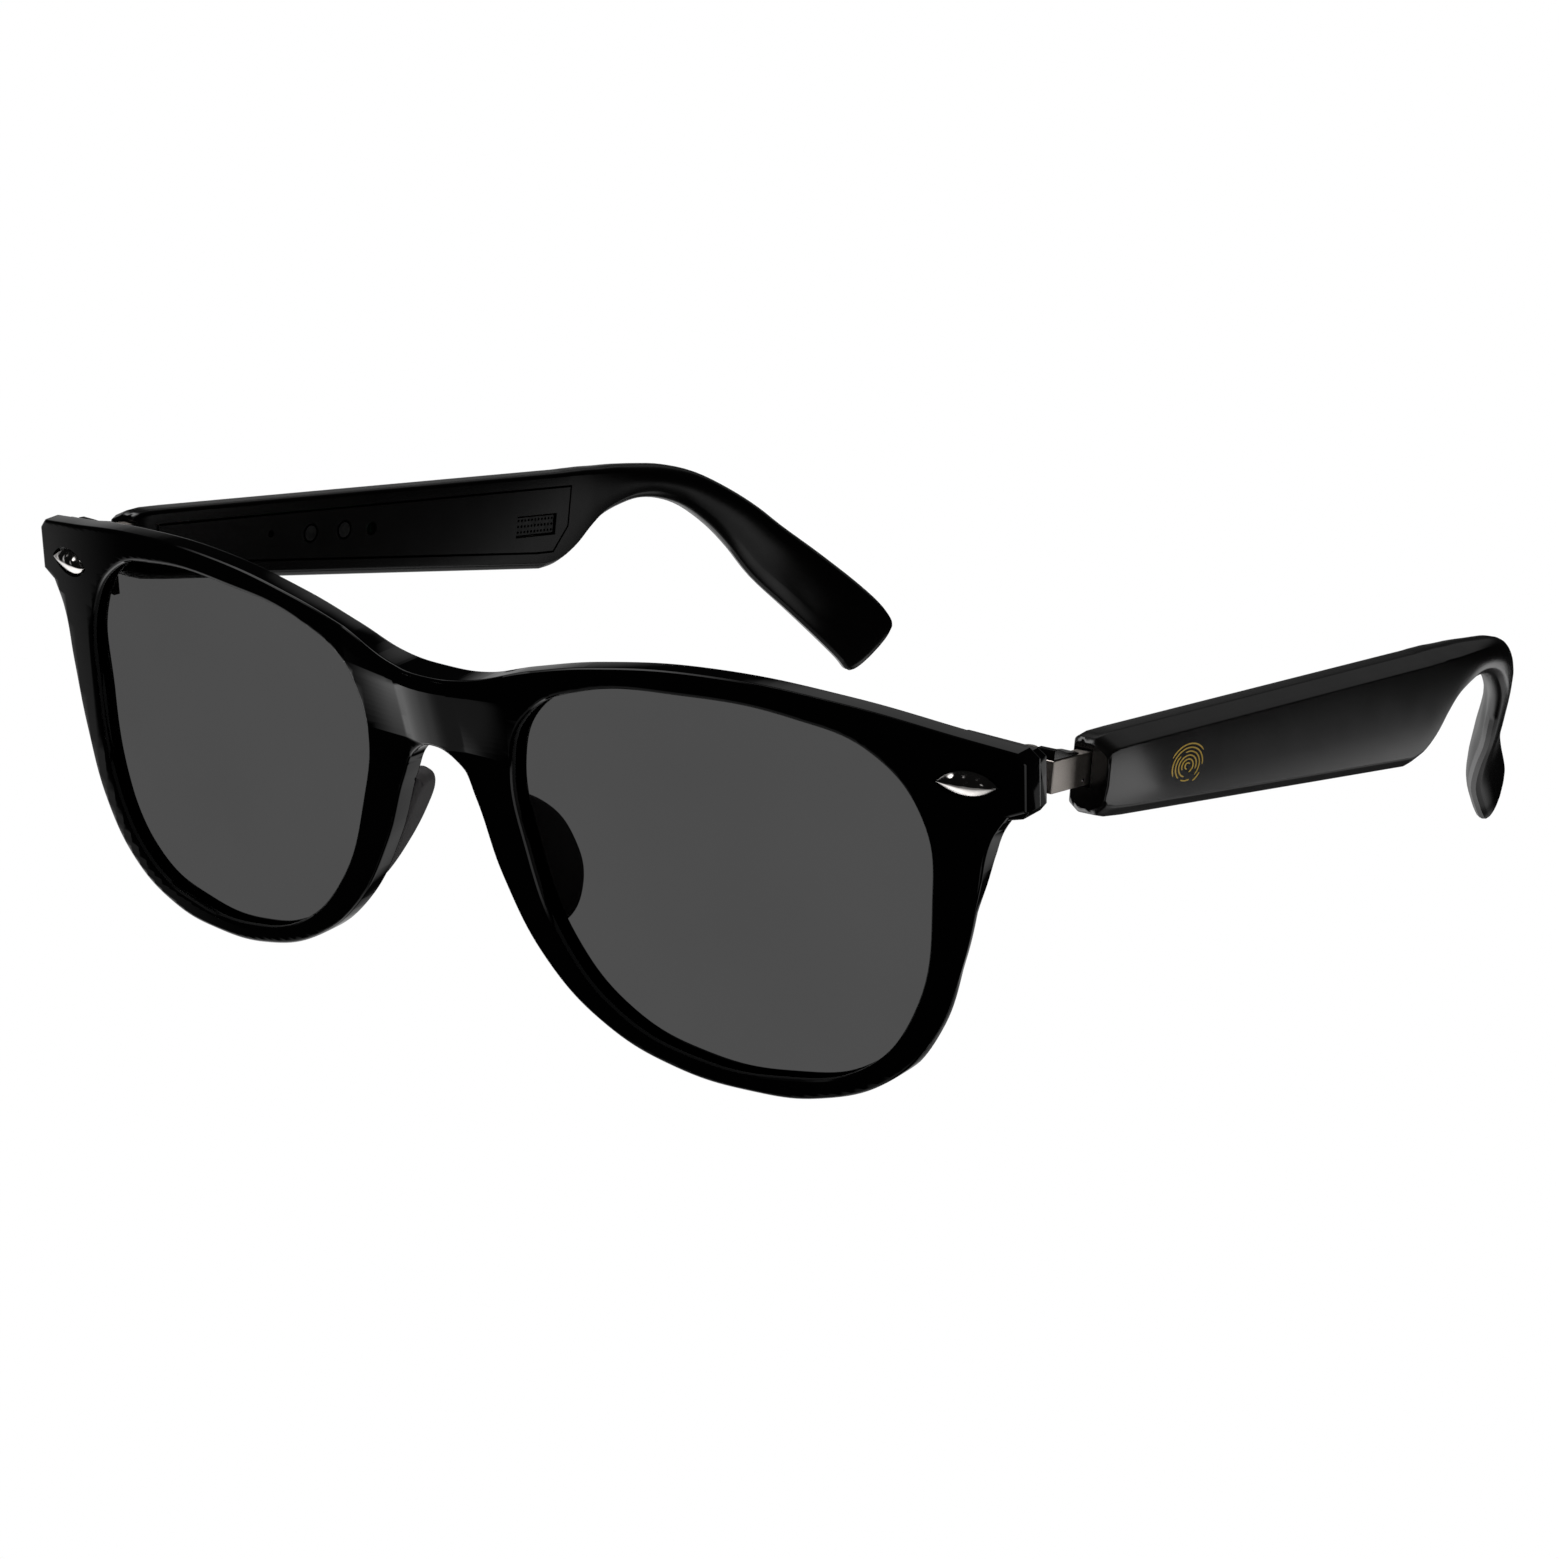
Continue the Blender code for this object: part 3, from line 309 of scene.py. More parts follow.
FLOOR_DROP = 0.0002


def combined(nodes, links, operation, first, second):
    node = nodes.new("ShaderNodeMath")
    node.operation = operation
    links.new(first, node.inputs[0])
    links.new(second, node.inputs[1])
    return node.outputs[0]


def seen_directly(nodes, links):
    """1 for what the eye sees past the object or through its lenses, 0 for reflected light."""
    seen = nodes.new("ShaderNodeLightPath").outputs
    return combined(nodes, links, "MAXIMUM", seen["Is Camera Ray"], seen["Is Transmission Ray"])


def make_studio():
    """A white backdrop, with soft panels that only show as reflections and light."""
    world = bpy.data.worlds.new("studio")
    bpy.context.scene.world = world
    world.use_nodes = True
    nodes, links = world.node_tree.nodes, world.node_tree.links
    nodes.clear()
    place = nodes.new("ShaderNodeTexCoord")
    total = None
    for azimuth, elevation, inner, outer, strength in PANELS.values():
        dot = nodes.new("ShaderNodeVectorMath")
        dot.operation = "DOT_PRODUCT"
        dot.inputs[1].default_value = direction(azimuth, elevation)
        links.new(place.outputs["Generated"], dot.inputs[0])
        ramp = nodes.new("ShaderNodeMapRange")
        ramp.interpolation_type = "SMOOTHSTEP"
        ramp.inputs["From Min"].default_value = math.cos(math.radians(outer))
        ramp.inputs["From Max"].default_value = math.cos(math.radians(inner))
        ramp.inputs["To Max"].default_value = strength
        links.new(dot.outputs["Value"], ramp.inputs["Value"])
        panel = ramp.outputs["Result"]
        total = combined(nodes, links, "ADD", total, panel) if total else panel
    ambient = nodes.new("ShaderNodeMath")
    ambient.operation = "ADD"
    ambient.inputs[1].default_value = AMBIENT
    links.new(total, ambient.inputs[0])
    panels = nodes.new("ShaderNodeBackground")
    links.new(ambient.outputs[0], panels.inputs["Strength"])
    white = nodes.new("ShaderNodeBackground")
    white.inputs["Strength"].default_value = BACKDROP_WHITE
    mix = nodes.new("ShaderNodeMixShader")
    links.new(seen_directly(nodes, links), mix.inputs["Fac"])
    links.new(panels.outputs[0], mix.inputs[1])
    links.new(white.outputs[0], mix.inputs[2])
    output = nodes.new("ShaderNodeOutputWorld")
    links.new(mix.outputs[0], output.inputs["Surface"])
    bpy.context.scene.view_settings.view_transform = "Standard"


def make_floor():
    """A plain white floor that looks as bright as the backdrop and throws nothing back."""
    material = bpy.data.materials.new("floor")
    material.use_nodes = True
    nodes, links = material.node_tree.nodes, material.node_tree.links
    nodes.clear()
    clear = nodes.new("ShaderNodeBsdfTransparent")
    glow = nodes.new("ShaderNodeEmission")
    glow.inputs["Strength"].default_value = BACKDROP_WHITE
    mix = nodes.new("ShaderNodeMixShader")
    links.new(seen_directly(nodes, links), mix.inputs["Fac"])
    links.new(clear.outputs[0], mix.inputs[1])
    links.new(glow.outputs[0], mix.inputs[2])
    output = nodes.new("ShaderNodeOutputMaterial")
    links.new(mix.outputs[0], output.inputs["Surface"])
    shape = bmesh.new()
    bmesh.ops.create_grid(shape, x_segments=8, y_segments=8, size=FLOOR_REACH)
    mesh = to_mesh(shape)
    mesh.materials.append(material)
    floor = bpy.data.objects.new("floor", mesh)
    floor.location.z = -FLOOR_DROP
    add_to_scene(floor)


# Small soft lights close to the object, each aimed so that its reflection falls where a face is
# lighter: side, lit point and normal in the temple's frame, distance, width and height in
# millimetres, and power in watts.
GLOWS = {
    "near_rear": ("left", (2.4, 68.0, -10.5), (1, 0, 0), 55.0, 60.0, 8.0, 0.0018),
    "near_front": ("left", (1.5, -1.0, -3.5), (1, 0, 0), 30.0, 14.0, 10.0, 0.00010),
    "near_link": ("left", (0.1, -3.5, 0.8), (1, 0, 0), 22.0, 9.0, 6.0, 0.00012),
    "far_rear": ("right", (-2.4, 64.0, -12.5), (-1, 0, 0), 55.0, 50.0, 8.0, 0.0006),
}


MARK_LAMP_SIZE = 0.03       # metres
MARK_LAMP_POWER = 0.06
MARK_LAMP_PLACE = (110.0, 0.0, 60.0)    # in the left temple's frame, in millimetres
MARK_LAMP_AIM = (2.4, 17.0, 0.0)


def add_area_light(name, power, place, turn):
    """A light that the camera doesn't see, not even through the lenses."""
    data = bpy.data.lights.new(name, "AREA")
    data.energy = power
    light = bpy.data.objects.new(name, data)
    light.location = place
    light.rotation_euler = turn.to_euler()
    light.visible_camera = False
    light.visible_transmission = False
    add_to_scene(light)
    return light


def make_glow(name, side, point, normal, distance, width, height, power):
    temple = for_side(side, TEMPLE)
    target = temple @ (Vector(point) * MM)
    outward = (temple.to_3x3() @ Vector(normal)).normalized()
    ray = (target - bpy.context.scene.camera.matrix_world.translation).normalized()
    bounced = ray - outward * (2 * ray.dot(outward))
    place = target + bounced * (distance * MM)
    light = add_area_light(name, power, place, (-bounced).to_track_quat("-Z", "Z"))
    light.data.shape = "RECTANGLE"
    light.data.size = width * MM
    light.data.size_y = height * MM


def make_mark_lamp():
    """A lamp beside the left temple that lights its painted and metal details from the side."""
    place = TEMPLE @ (Vector(MARK_LAMP_PLACE) * MM)
    aim = TEMPLE @ (Vector(MARK_LAMP_AIM) * MM)
    lamp = add_area_light("mark_lamp", MARK_LAMP_POWER, place, (aim - place).to_track_quat("-Z", "Y"))
    lamp.data.size = MARK_LAMP_SIZE
    lamp.visible_glossy = False


# ---------------------------------------------------------------- materials

TINT_ENDS = (0.3, 0.7)      # pattern values for all dark and all light
COLOUR_DRIFT = 55.0         # features per metre, here and in the next four
GLOSS_DRIFT = 240.0
METAL_GRAIN = 900.0
METAL_SCRATCHES = 2600.0
LENS_DRIFT = 40.0
SCRATCH_DEPTH = 0.00002
LENS_IOR = 1.02             # close to air, since a thin lens without power bends nothing


def base_material(name, colour, roughness, metallic=0.0):
    material = bpy.data.materials.new(name)
    material.use_nodes = True
    shader = material.node_tree.nodes["Principled BSDF"]
    shader.inputs["Base Color"].default_value = (*colour, 1.0)
    shader.inputs["Roughness"].default_value = roughness
    shader.inputs["Metallic"].default_value = metallic
    return material, shader


def noise(material, scale, detail=3.0, stretch=(1.0, 1.0, 1.0)):
    """A noise pattern fixed to the object, in features per metre."""
    nodes, links = material.node_tree.nodes, material.node_tree.links
    place = nodes.new("ShaderNodeTexCoord")
    mapping = nodes.new("ShaderNodeMapping")
    mapping.inputs["Scale"].default_value = stretch
    pattern = nodes.new("ShaderNodeTexNoise")
    pattern.inputs["Scale"].default_value = scale
    pattern.inputs["Detail"].default_value = detail
    links.new(place.outputs["Object"], mapping.inputs["Vector"])
    links.new(mapping.outputs["Vector"], pattern.inputs["Vector"])
    return pattern.outputs["Fac"]


def spread(material, socket, low, high):
    """Map a pattern to a range of values."""
    node = material.node_tree.nodes.new("ShaderNodeMapRange")
    node.inputs["To Min"].default_value = low
    node.inputs["To Max"].default_value = high
    material.node_tree.links.new(socket, node.inputs["Value"])
    return node.outputs["Result"]


def tint(material, socket, low, high):
    """Mix two colours by a pattern."""
    ramp = material.node_tree.nodes.new("ShaderNodeValToRGB")
    ramp.color_ramp.elements[0].position = TINT_ENDS[0]
    ramp.color_ramp.elements[1].position = TINT_ENDS[1]
    ramp.color_ramp.elements[0].color = (*low, 1.0)
    ramp.color_ramp.elements[1].color = (*high, 1.0)
    material.node_tree.links.new(socket, ramp.inputs["Fac"])
    return ramp.outputs["Color"]


def bump(material, shader, socket, depth, strength):
    node = material.node_tree.nodes.new("ShaderNodeBump")
    node.inputs["Strength"].default_value = strength
    node.inputs["Distance"].default_value = depth
    material.node_tree.links.new(socket, node.inputs["Height"])
    material.node_tree.links.new(node.outputs["Normal"], shader.inputs["Normal"])


def make_plastic(name, dark, light, roughness, grain_scale, grain_depth, grain_strength):
    """Moulded plastic: a slow drift of colour and gloss, and a fine surface grain."""
    material, shader = base_material(name, light, sum(roughness) / 2)
    links = material.node_tree.links
    slow = noise(material, COLOUR_DRIFT)
    links.new(tint(material, slow, dark, light), shader.inputs["Base Color"])
    gloss = noise(material, GLOSS_DRIFT, 5.0)
    links.new(spread(material, gloss, *roughness), shader.inputs["Roughness"])
    bump(material, shader, noise(material, grain_scale, 2.0), grain_depth, grain_strength)
    return material


def make_metal(name, dark, light, roughness, brush=(1.0, 1.0, 1.0), strength=0.15):
    """Metal with a brushed or polished surface: stretched noise in tone, gloss and relief."""
    material, shader = base_material(name, light, sum(roughness) / 2, metallic=1.0)
    links = material.node_tree.links
    grain = noise(material, METAL_GRAIN, 4.0, brush)
    links.new(tint(material, grain, dark, light), shader.inputs["Base Color"])
    links.new(spread(material, grain, *roughness), shader.inputs["Roughness"])
    bump(material, shader, noise(material, METAL_SCRATCHES, 2.0, brush), SCRATCH_DEPTH, strength)
    return material


def make_glass(name, dark, light, roughness):
    """Clear tinted plastic whose tint drifts very slightly."""
    material, shader = base_material(name, light, roughness)
    links = material.node_tree.links
    links.new(tint(material, noise(material, LENS_DRIFT), dark, light), shader.inputs["Base Color"])
    shader.inputs["Transmission Weight"].default_value = 1.0
    shader.inputs["IOR"].default_value = LENS_IOR
    shader.inputs["Specular IOR Level"].default_value = 0.5
    return material


# ---------------------------------------------------------------- mesh helpers

def carry(mesh, matrix):
    """Move a mesh, and turn its faces the right way out again after a mirroring."""
    mesh.transform(matrix)
    if matrix.determinant() < 0:
        mesh.flip_normals()


def new_object(name, mesh, material, matrix):
    """An object at the world's origin whose mesh is carried into place."""
    carry(mesh, matrix)
    mesh.materials.clear()
    mesh.materials.append(material)
    made = bpy.data.objects.new(name, mesh)
    add_to_scene(made)
    return made


def to_mesh(shape):
    mesh = bpy.data.meshes.new("shape")
    shape.to_mesh(mesh)
    shape.free()
    return mesh


def smooth_faces(item, angle_deg):
    item.data.shade_smooth()
    item.data.set_sharp_from_angle(angle=math.radians(angle_deg))


def finish_shading(item, angle_deg=28.0):
    """Smooth shading that keeps flat faces flat and real edges sharp."""
    smooth_faces(item, angle_deg)
    weigh = item.modifiers.new("weigh", "WEIGHTED_NORMAL")
    weigh.keep_sharp = True
    weigh.weight = FACE_WEIGHT


def apply_modifiers(item):
    bpy.context.view_layer.update()
    seen = item.evaluated_get(bpy.context.evaluated_depsgraph_get())
    mesh = bpy.data.meshes.new_from_object(seen)
    item.modifiers.clear()
    item.data = mesh


def smooth_loop(points, steps=CURVE_STEPS):
    """The outline's points along a Bezier curve through its knots, as 2D vectors."""
    curve = bpy.data.curves.new("outline", "CURVE")
    curve.dimensions = "2D"
    curve.fill_mode = "NONE"
    spline = curve.splines.new("BEZIER")
    spline.bezier_points.add(len(points) - 1)
    spline.use_cyclic_u = True
    spline.resolution_u = steps
    for knot, (across, up, *corner) in zip(spline.bezier_points, points):
        knot.co = (across, up, 0.0)
        knot.handle_left_type = knot.handle_right_type = "VECTOR" if corner else "AUTO"
    holder = bpy.data.objects.new("outline", curve)
    add_to_scene(holder)
    bpy.context.view_layer.update()
    mesh = bpy.data.meshes.new_from_object(holder.evaluated_get(bpy.context.evaluated_depsgraph_get()))
    loop = [vertex.co.xy.copy() for vertex in mesh.vertices]
    bpy.data.objects.remove(holder, do_unlink=True)
    return [point for point, before in zip(loop, loop[-1:] + loop[:-1])
            if (point - before).length > SAME_POINT]


def signed_area(loop):
    return sum(a.x * b.y - b.x * a.y for a, b in zip(loop, loop[1:] + loop[:1])) / 2


def inset_loop(loop, amount):
    """The loop moved towards its own inside by an amount, with mitred corners."""
    turn = 1.0 if signed_area(loop) > 0 else -1.0
    moved = []
    for index, point in enumerate(loop):
        before = (point - loop[index - 1]).normalized()
        after = (loop[(index + 1) % len(loop)] - point).normalized()
        inward_a = Vector((-before.y, before.x)) * turn
        inward_b = Vector((-after.y, after.x)) * turn
        middle = (inward_a + inward_b).normalized()
        moved.append(point + middle * (amount / max(middle.dot(inward_a), MITRE_LIMIT)))
    return moved


def mirrored(points):
    return [(-across, up, *corner) for across, up, *corner in points]


def grown(points, centre, grow):
    half_width = (max(p[0] for p in points) - min(p[0] for p in points)) / 2
    half_height = (max(p[1] for p in points) - min(p[1] for p in points)) / 2
    wider, taller = 1 + grow / half_width, 1 + grow / half_height
    return [(centre[0] + (x - centre[0]) * wider, centre[1] + (z - centre[1]) * taller, *corner)
            for x, z, *corner in points]


def rounded(radius, start, steps=3):
    """Profile points (inset, depth) of a quarter round from a face at a depth to the wall."""
    made = []
    for step in range(steps + 1):
        turn = math.pi / 2 * step / steps
        made.append((radius * (1 - math.sin(turn)), start + radius * (1 - math.cos(turn))))
    return made


def rounded_back(radius, end, steps=3):
    return [(inset, end - depth) for inset, depth in reversed(rounded(radius, 0.0, steps))]


def join_rings(shape, rings, capped=False):
    """Walls between rings of vertices that follow each other, and a face on the first and last."""
    for ring, following in zip(rings, rings[1:]):
        for index in range(len(ring)):
            after = (index + 1) % len(ring)
            shape.faces.new((ring[index], ring[after], following[after], following[index]))
    if capped:
        shape.faces.new(rings[0])
        shape.faces.new(rings[-1])


def profiled_plate(loops, profiles):
    """A plate in X and Z whose depth runs along Y. The first loop is its outline and the others
    are holes, and each loop's wall follows its own profile of (inset into the material, depth)."""
    shape = bmesh.new()
    caps = ([], [])
    for number, (loop, profile) in enumerate(zip(loops, profiles)):
        sign = 1.0 if number == 0 else -1.0
        rings = [[shape.verts.new((p.x, depth, p.y)) for p in inset_loop(loop, sign * inset)]
                 for inset, depth in profile]
        join_rings(shape, rings)
        caps[0].append(rings[0])
        caps[1].append(rings[-1])
    for cap in caps:
        flat = [vertex for ring in cap for vertex in ring]
        for corners in tessellate_polygon([[Vector((v.co.x, v.co.z, 0)) for v in ring] for ring in cap]):
            shape.faces.new([flat[index] for index in corners])
    bmesh.ops.recalc_face_normals(shape, faces=shape.faces)
    return shape


def slice_shape(shape, point, normal):
    """Add edges where a plane meets the shape."""
    everything = shape.verts[:] + shape.edges[:] + shape.faces[:]
    bmesh.ops.bisect_plane(shape, geom=everything, plane_co=point, plane_no=normal, dist=CUT_TOLERANCE)


def slice_for_wrap(shape):
    reach = int(FRONT_HALF_WIDTH / WRAP_STATION_STEP)
    for step in range(-reach, reach + 1):
        slice_shape(shape, (step * WRAP_STATION_STEP, 0, 0), (1, 0, 0))


def wrap_depth(across):
    return WRAP_PER_MM * across * across


def share_between(value, ends):
    return min(max((value - ends[0]) / (ends[1] - ends[0]), 0.0), 1.0)


def box_mesh(low, high, edge=0.0):
    """A box in millimetres, with its edges rounded if a radius is given."""
    low, high = Vector(low), Vector(high)
    shape = bmesh.new()
    place = Matrix.Translation((low + high) / 2) @ Matrix.Diagonal((*(high - low), 1.0))
    bmesh.ops.create_cube(shape, size=1.0, matrix=place)
    if edge:
        bmesh.ops.bevel(shape, geom=shape.edges[:], offset=edge, segments=3, profile=0.5, affect="EDGES")
    return to_mesh(shape)


def boolean(item, mesh, operation, matrix):
    """Cut a mesh from an object, or join one to it, and apply the change."""
    carry(mesh, matrix)
    tool = bpy.data.objects.new("tool", mesh)
    add_to_scene(tool)
    change = item.modifiers.new("change", "BOOLEAN")
    change.operation = operation
    change.solver = "EXACT"
    change.object = tool
    apply_modifiers(item)
    bpy.data.objects.remove(tool, do_unlink=True)


def for_side(side, matrix):
    """The same place on the other side of the middle plane for the right-hand twin."""
    return matrix if side == "left" else MIRROR @ matrix


# ---------------------------------------------------------------- the front

def brow_height(across):
    """The height of the front's top edge near the middle."""
    knots = [knot[:2] for knot in FRONT_OUTLINE[:BROW_KNOTS]]
    for (start, start_up), (end, end_up) in zip(knots, knots[1:]):
        if abs(across) <= end:
            return start_up + (end_up - start_up) * (abs(across) - start) / (end - start)
    return knots[-1][1]


def bridge_rise(across, up):
    """How far the bridge's face stands in front of the rims' faces."""
    away = abs(across)
    lean = share_between(up, (BRIDGE_BOTTOM, CREASE_UP[0]))
    side = BRIDGE_RISE[0] + (BRIDGE_RISE[1] - BRIDGE_RISE[0]) * lean
    side *= 1 - share_between(away, (BRIDGE_FLAT, BRIDGE_FOOT))
    if away < BRIDGE_FLAT:
        side += BRIDGE_CROWN * (1 - (away / BRIDGE_FLAT) ** 2)
    crease = CREASE_UP[0] + (CREASE_UP[1] - CREASE_UP[0]) * share_between(away, (BRIDGE_FLAT, BRIDGE_FOOT))
    return side * (1 - BROW_DROP * share_between(up, (crease, brow_height(across) - BROW_MARGIN)))


def crease_bridge(shape):
    """Add the edges along which the bridge's facets meet."""
    for side in (1, -1):
        slice_shape(shape, (side * BRIDGE_FLAT, 0, 0), (1, 0, 0))
        slice_shape(shape, (side * BRIDGE_FOOT, 0, 0), (1, 0, 0))
    front = [f for f in shape.faces if max(v.co.y for v in f.verts) < FRONT_ROUND + 0.01]
    bands = [((-BRIDGE_FLAT, BRIDGE_FLAT), (CREASE_UP[0], CREASE_UP[0])),
             ((BRIDGE_FLAT, BRIDGE_FOOT), CREASE_UP),
             ((-BRIDGE_FOOT, -BRIDGE_FLAT), (CREASE_UP[1], CREASE_UP[0]))]
    for (low, high), (low_up, high_up) in bands:
        faces = [f for f in front if f.is_valid and low < f.calc_center_median().x < high]
        edges = list({e for f in faces for e in f.edges})
        corners = list({v for f in faces for v in f.verts})
        normal = Vector((low_up - high_up, 0, high - low)).normalized()
        bmesh.ops.bisect_plane(shape, geom=corners + edges + faces, plane_co=(low, 0, low_up),
                               plane_no=normal, dist=CUT_TOLERANCE)


def shape_front(shape):
    """Raise the bridge, lean the rims' outer walls in and bow the whole front."""
    for vertex in shape.verts:
        across, depth, up = vertex.co
        lean = SIDE_DRAFT * depth / FRONT_THICKNESS
        lean *= share_between(abs(across), DRAFT_ACROSS) * share_between(up, DRAFT_UP)
        rise = bridge_rise(across, up) * (1 - share_between(depth, (FRONT_ROUND, BRIDGE_ROOT)))
        vertex.co.x -= math.copysign(lean, across)
        vertex.co.y += wrap_depth(vertex.co.x) - rise


def front_loops():
    outline = FRONT_OUTLINE + mirrored(FRONT_OUTLINE[1:-1])[::-1]
    return [smooth_loop(outline), smooth_loop(LENS_OUTLINE), smooth_loop(mirrored(LENS_OUTLINE))]


def make_front(material):
    outside = rounded(FRONT_ROUND, 0.0) + rounded_back(BACK_ROUND, FRONT_THICKNESS)
    groove = (LENS_SETBACK - GAP, LENS_SETBACK + LENS_THICKNESS + GAP)
    opening = rounded(OPENING_ROUND, 0.0)
    opening += [(0.0, groove[0]), (LENS_GROOVE, groove[0]), (LENS_GROOVE, groove[1]), (0.0, groove[1])]
    opening += rounded_back(OPENING_BACK_ROUND, FRONT_THICKNESS)
    shape = profiled_plate(front_loops(), [outside, opening, opening])
    slice_for_wrap(shape)
    crease_bridge(shape)
    shape_front(shape)
    front = new_object("front", to_mesh(shape), material, STAND @ SCALE)
    for side in SIDES:
        profile = rounded(ENDPIECE_ROUND, ENDPIECE_START) + rounded_back(BACK_ROUND, ENDPIECE_THICKNESS)
        block = profiled_plate([smooth_loop(ENDPIECE_OUTLINE, 2)], [profile])
        for vertex in block.verts:
            vertex.co.y += wrap_depth(vertex.co.x)
        boolean(front, to_mesh(block), "UNION", front_place(side))
        recess = profiled_plate([rivet_loop(GAP)], [[(0, -OVERRUN), (0, RIVET_RECESS)]])
        boolean(front, to_mesh(recess), "DIFFERENCE", front_place(side) @ rivet_frame())
    finish_shading(front)
    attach(front, "front")
    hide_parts("front_frame")


def front_place(side):
    return STAND @ SCALE if side == "left" else STAND @ MIRROR @ SCALE


def rivet_frame():
    slant = math.atan(2 * WRAP_PER_MM * RIVET_X)
    return Matrix.Translation((RIVET_X, wrap_depth(RIVET_X), RIVET_Z)) @ Matrix.Rotation(slant, 4, "Z")


def rivet_loop(grow):
    """A pointed oval: two arcs that meet in a point at each end."""
    wide, high = RIVET_HALF_LENGTH + grow, RIVET_HALF_HEIGHT + grow
    radius = (wide * wide + high * high) / (2 * high)
    half = math.asin(wide / radius)
    arc = [half * (1 - step / 12) for step in range(25)]
    upper = [Vector((radius * math.sin(a), radius * math.cos(a) - (radius - high))) for a in arc]
    lower = [Vector((-p.x, -p.y)) for p in upper[:-1]]
    return upper[:-1] + lower


def rivet_height(along, across):
    """How far the rivet stands out of its seat: a long ridge with three bosses above it."""
    height = RIVET_DOME * (1 - abs(across) ** 1.5) * (1 - along * along) ** 0.4
    for boss in RIVET_BOSSES:
        aside = (along - boss) / RIVET_BOSS_SIZE[0]
        above = (across - RIVET_BOSS_UP) / RIVET_BOSS_SIZE[1]
        height += RIVET_BOSS_HEIGHT * math.exp(-(aside ** 2 + above ** 2))
    return height


def make_rivet(side, material):
    """A polished pointed oval with a ridge along it."""
    shape = bmesh.new()
    columns, rows = RIVET_GRID
    radius = (RIVET_HALF_LENGTH ** 2 + RIVET_HALF_HEIGHT ** 2) / (2 * RIVET_HALF_HEIGHT)
    rim = RIVET_RECESS - RIVET_RIM
    base = RIVET_RECESS - RIVET_BASE
    lines = []
    for column in range(columns + 1):
        along = -1 + 2 * column / columns
        x = along * RIVET_HALF_LENGTH
        half = max(math.sqrt(radius * radius - x * x) - (radius - RIVET_HALF_HEIGHT), RIVET_POINT)
        line = [shape.verts.new((x, base, -half))]
        for row in range(rows + 1):
            across = -1 + 2 * row / rows
            line.append(shape.verts.new((x, rim - rivet_height(along, across), half * across)))
        line.append(shape.verts.new((x, base, half)))
        lines.append(line)
    join_rings(shape, lines, capped=True)
    bmesh.ops.recalc_face_normals(shape, faces=shape.faces)
    place = front_place(side) @ rivet_frame()
    rivet = new_object("rivet_" + side + "_dome", to_mesh(shape), material, place)
    smooth_faces(rivet, 40.0)
    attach(rivet, "front")
    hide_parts("rivet_" + side)


def make_lens(side, material):
    points = grown(LENS_OUTLINE, LENS_CENTRE, LENS_BITE)
    back = LENS_SETBACK + LENS_THICKNESS
    profile = rounded(LENS_EDGE, LENS_SETBACK, 2) + rounded_back(LENS_EDGE, back, 2)
    shape = profiled_plate([smooth_loop(points)], [profile])
    slice_for_wrap(shape)
    for vertex in shape.verts:
        vertex.co.y += wrap_depth(vertex.co.x)
    lens = new_object("lens_" + side + "_clear", to_mesh(shape), material, front_place(side))
    finish_shading(lens)
    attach(lens, "front")
    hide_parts("lens_" + side)


def make_nose_pad(side, material):
    """Half an oval on edge, with a soft edge, growing out of the back of the rim."""
    half = PAD_LENGTH / 2
    root, shoulder = half * PAD_ROOT_SHARE, (PAD_DEPTH * PAD_SHOULDER[0], half * PAD_SHOULDER[1])
    points = [(-PAD_ROOT, root, True), (0.0, half), (shoulder[0], shoulder[1]),
              (PAD_DEPTH, 0.0), (shoulder[0], -shoulder[1]), (0.0, -half),
              (-PAD_ROOT, -root, True)]
    profile = rounded(PAD_EDGE, -PAD_THICKNESS / 2, PAD_EDGE_STEPS)
    profile += rounded_back(PAD_EDGE, PAD_THICKNESS / 2, PAD_EDGE_STEPS)
    shape = profiled_plate([smooth_loop(points)], [profile])
    behind = FRONT_THICKNESS + wrap_depth(PAD_PLACE[0]) + GAP + PAD_CLEARANCE
    place = (Matrix.Translation((PAD_PLACE[0], behind, PAD_PLACE[1]))
             @ Matrix.Rotation(math.radians(-PAD_LEAN_DEG), 4, "Y")
             @ Matrix.Rotation(math.radians(-PAD_SPLAY_DEG), 4, "Z") @ SWAP_X_AND_Y)
    shape.transform(place)
    bmesh.ops.recalc_face_normals(shape, faces=shape.faces)
    pad = new_object("nose_pad_" + side + "_soft", to_mesh(shape), material, front_place(side))
    finish_shading(pad, 40.0)
    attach(pad, "front")
    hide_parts("nose_pad_" + side)


# ---------------------------------------------------------------- temples

def housing_rows():
    """The housing's sections, in the form that HOOK_SECTIONS has."""
    made = []
    for along, top_inset, bottom_inset, inner_inset in FRONT_END + [(HOUSING_LENGTH, 0.0, 0.0, 0.0)]:
        share = along / HOUSING_LENGTH
        bottom = TEMPLE_FRONT_BOTTOM + (TEMPLE_REAR_BOTTOM - TEMPLE_FRONT_BOTTOM) * share + bottom_inset
        top = TEMPLE_TOP - top_inset
        made.append((along, (top + bottom) / 2, inner_inset / 2, top - bottom,
                     TEMPLE_THICKNESS - inner_inset, 0.0, 0.0))
    return made


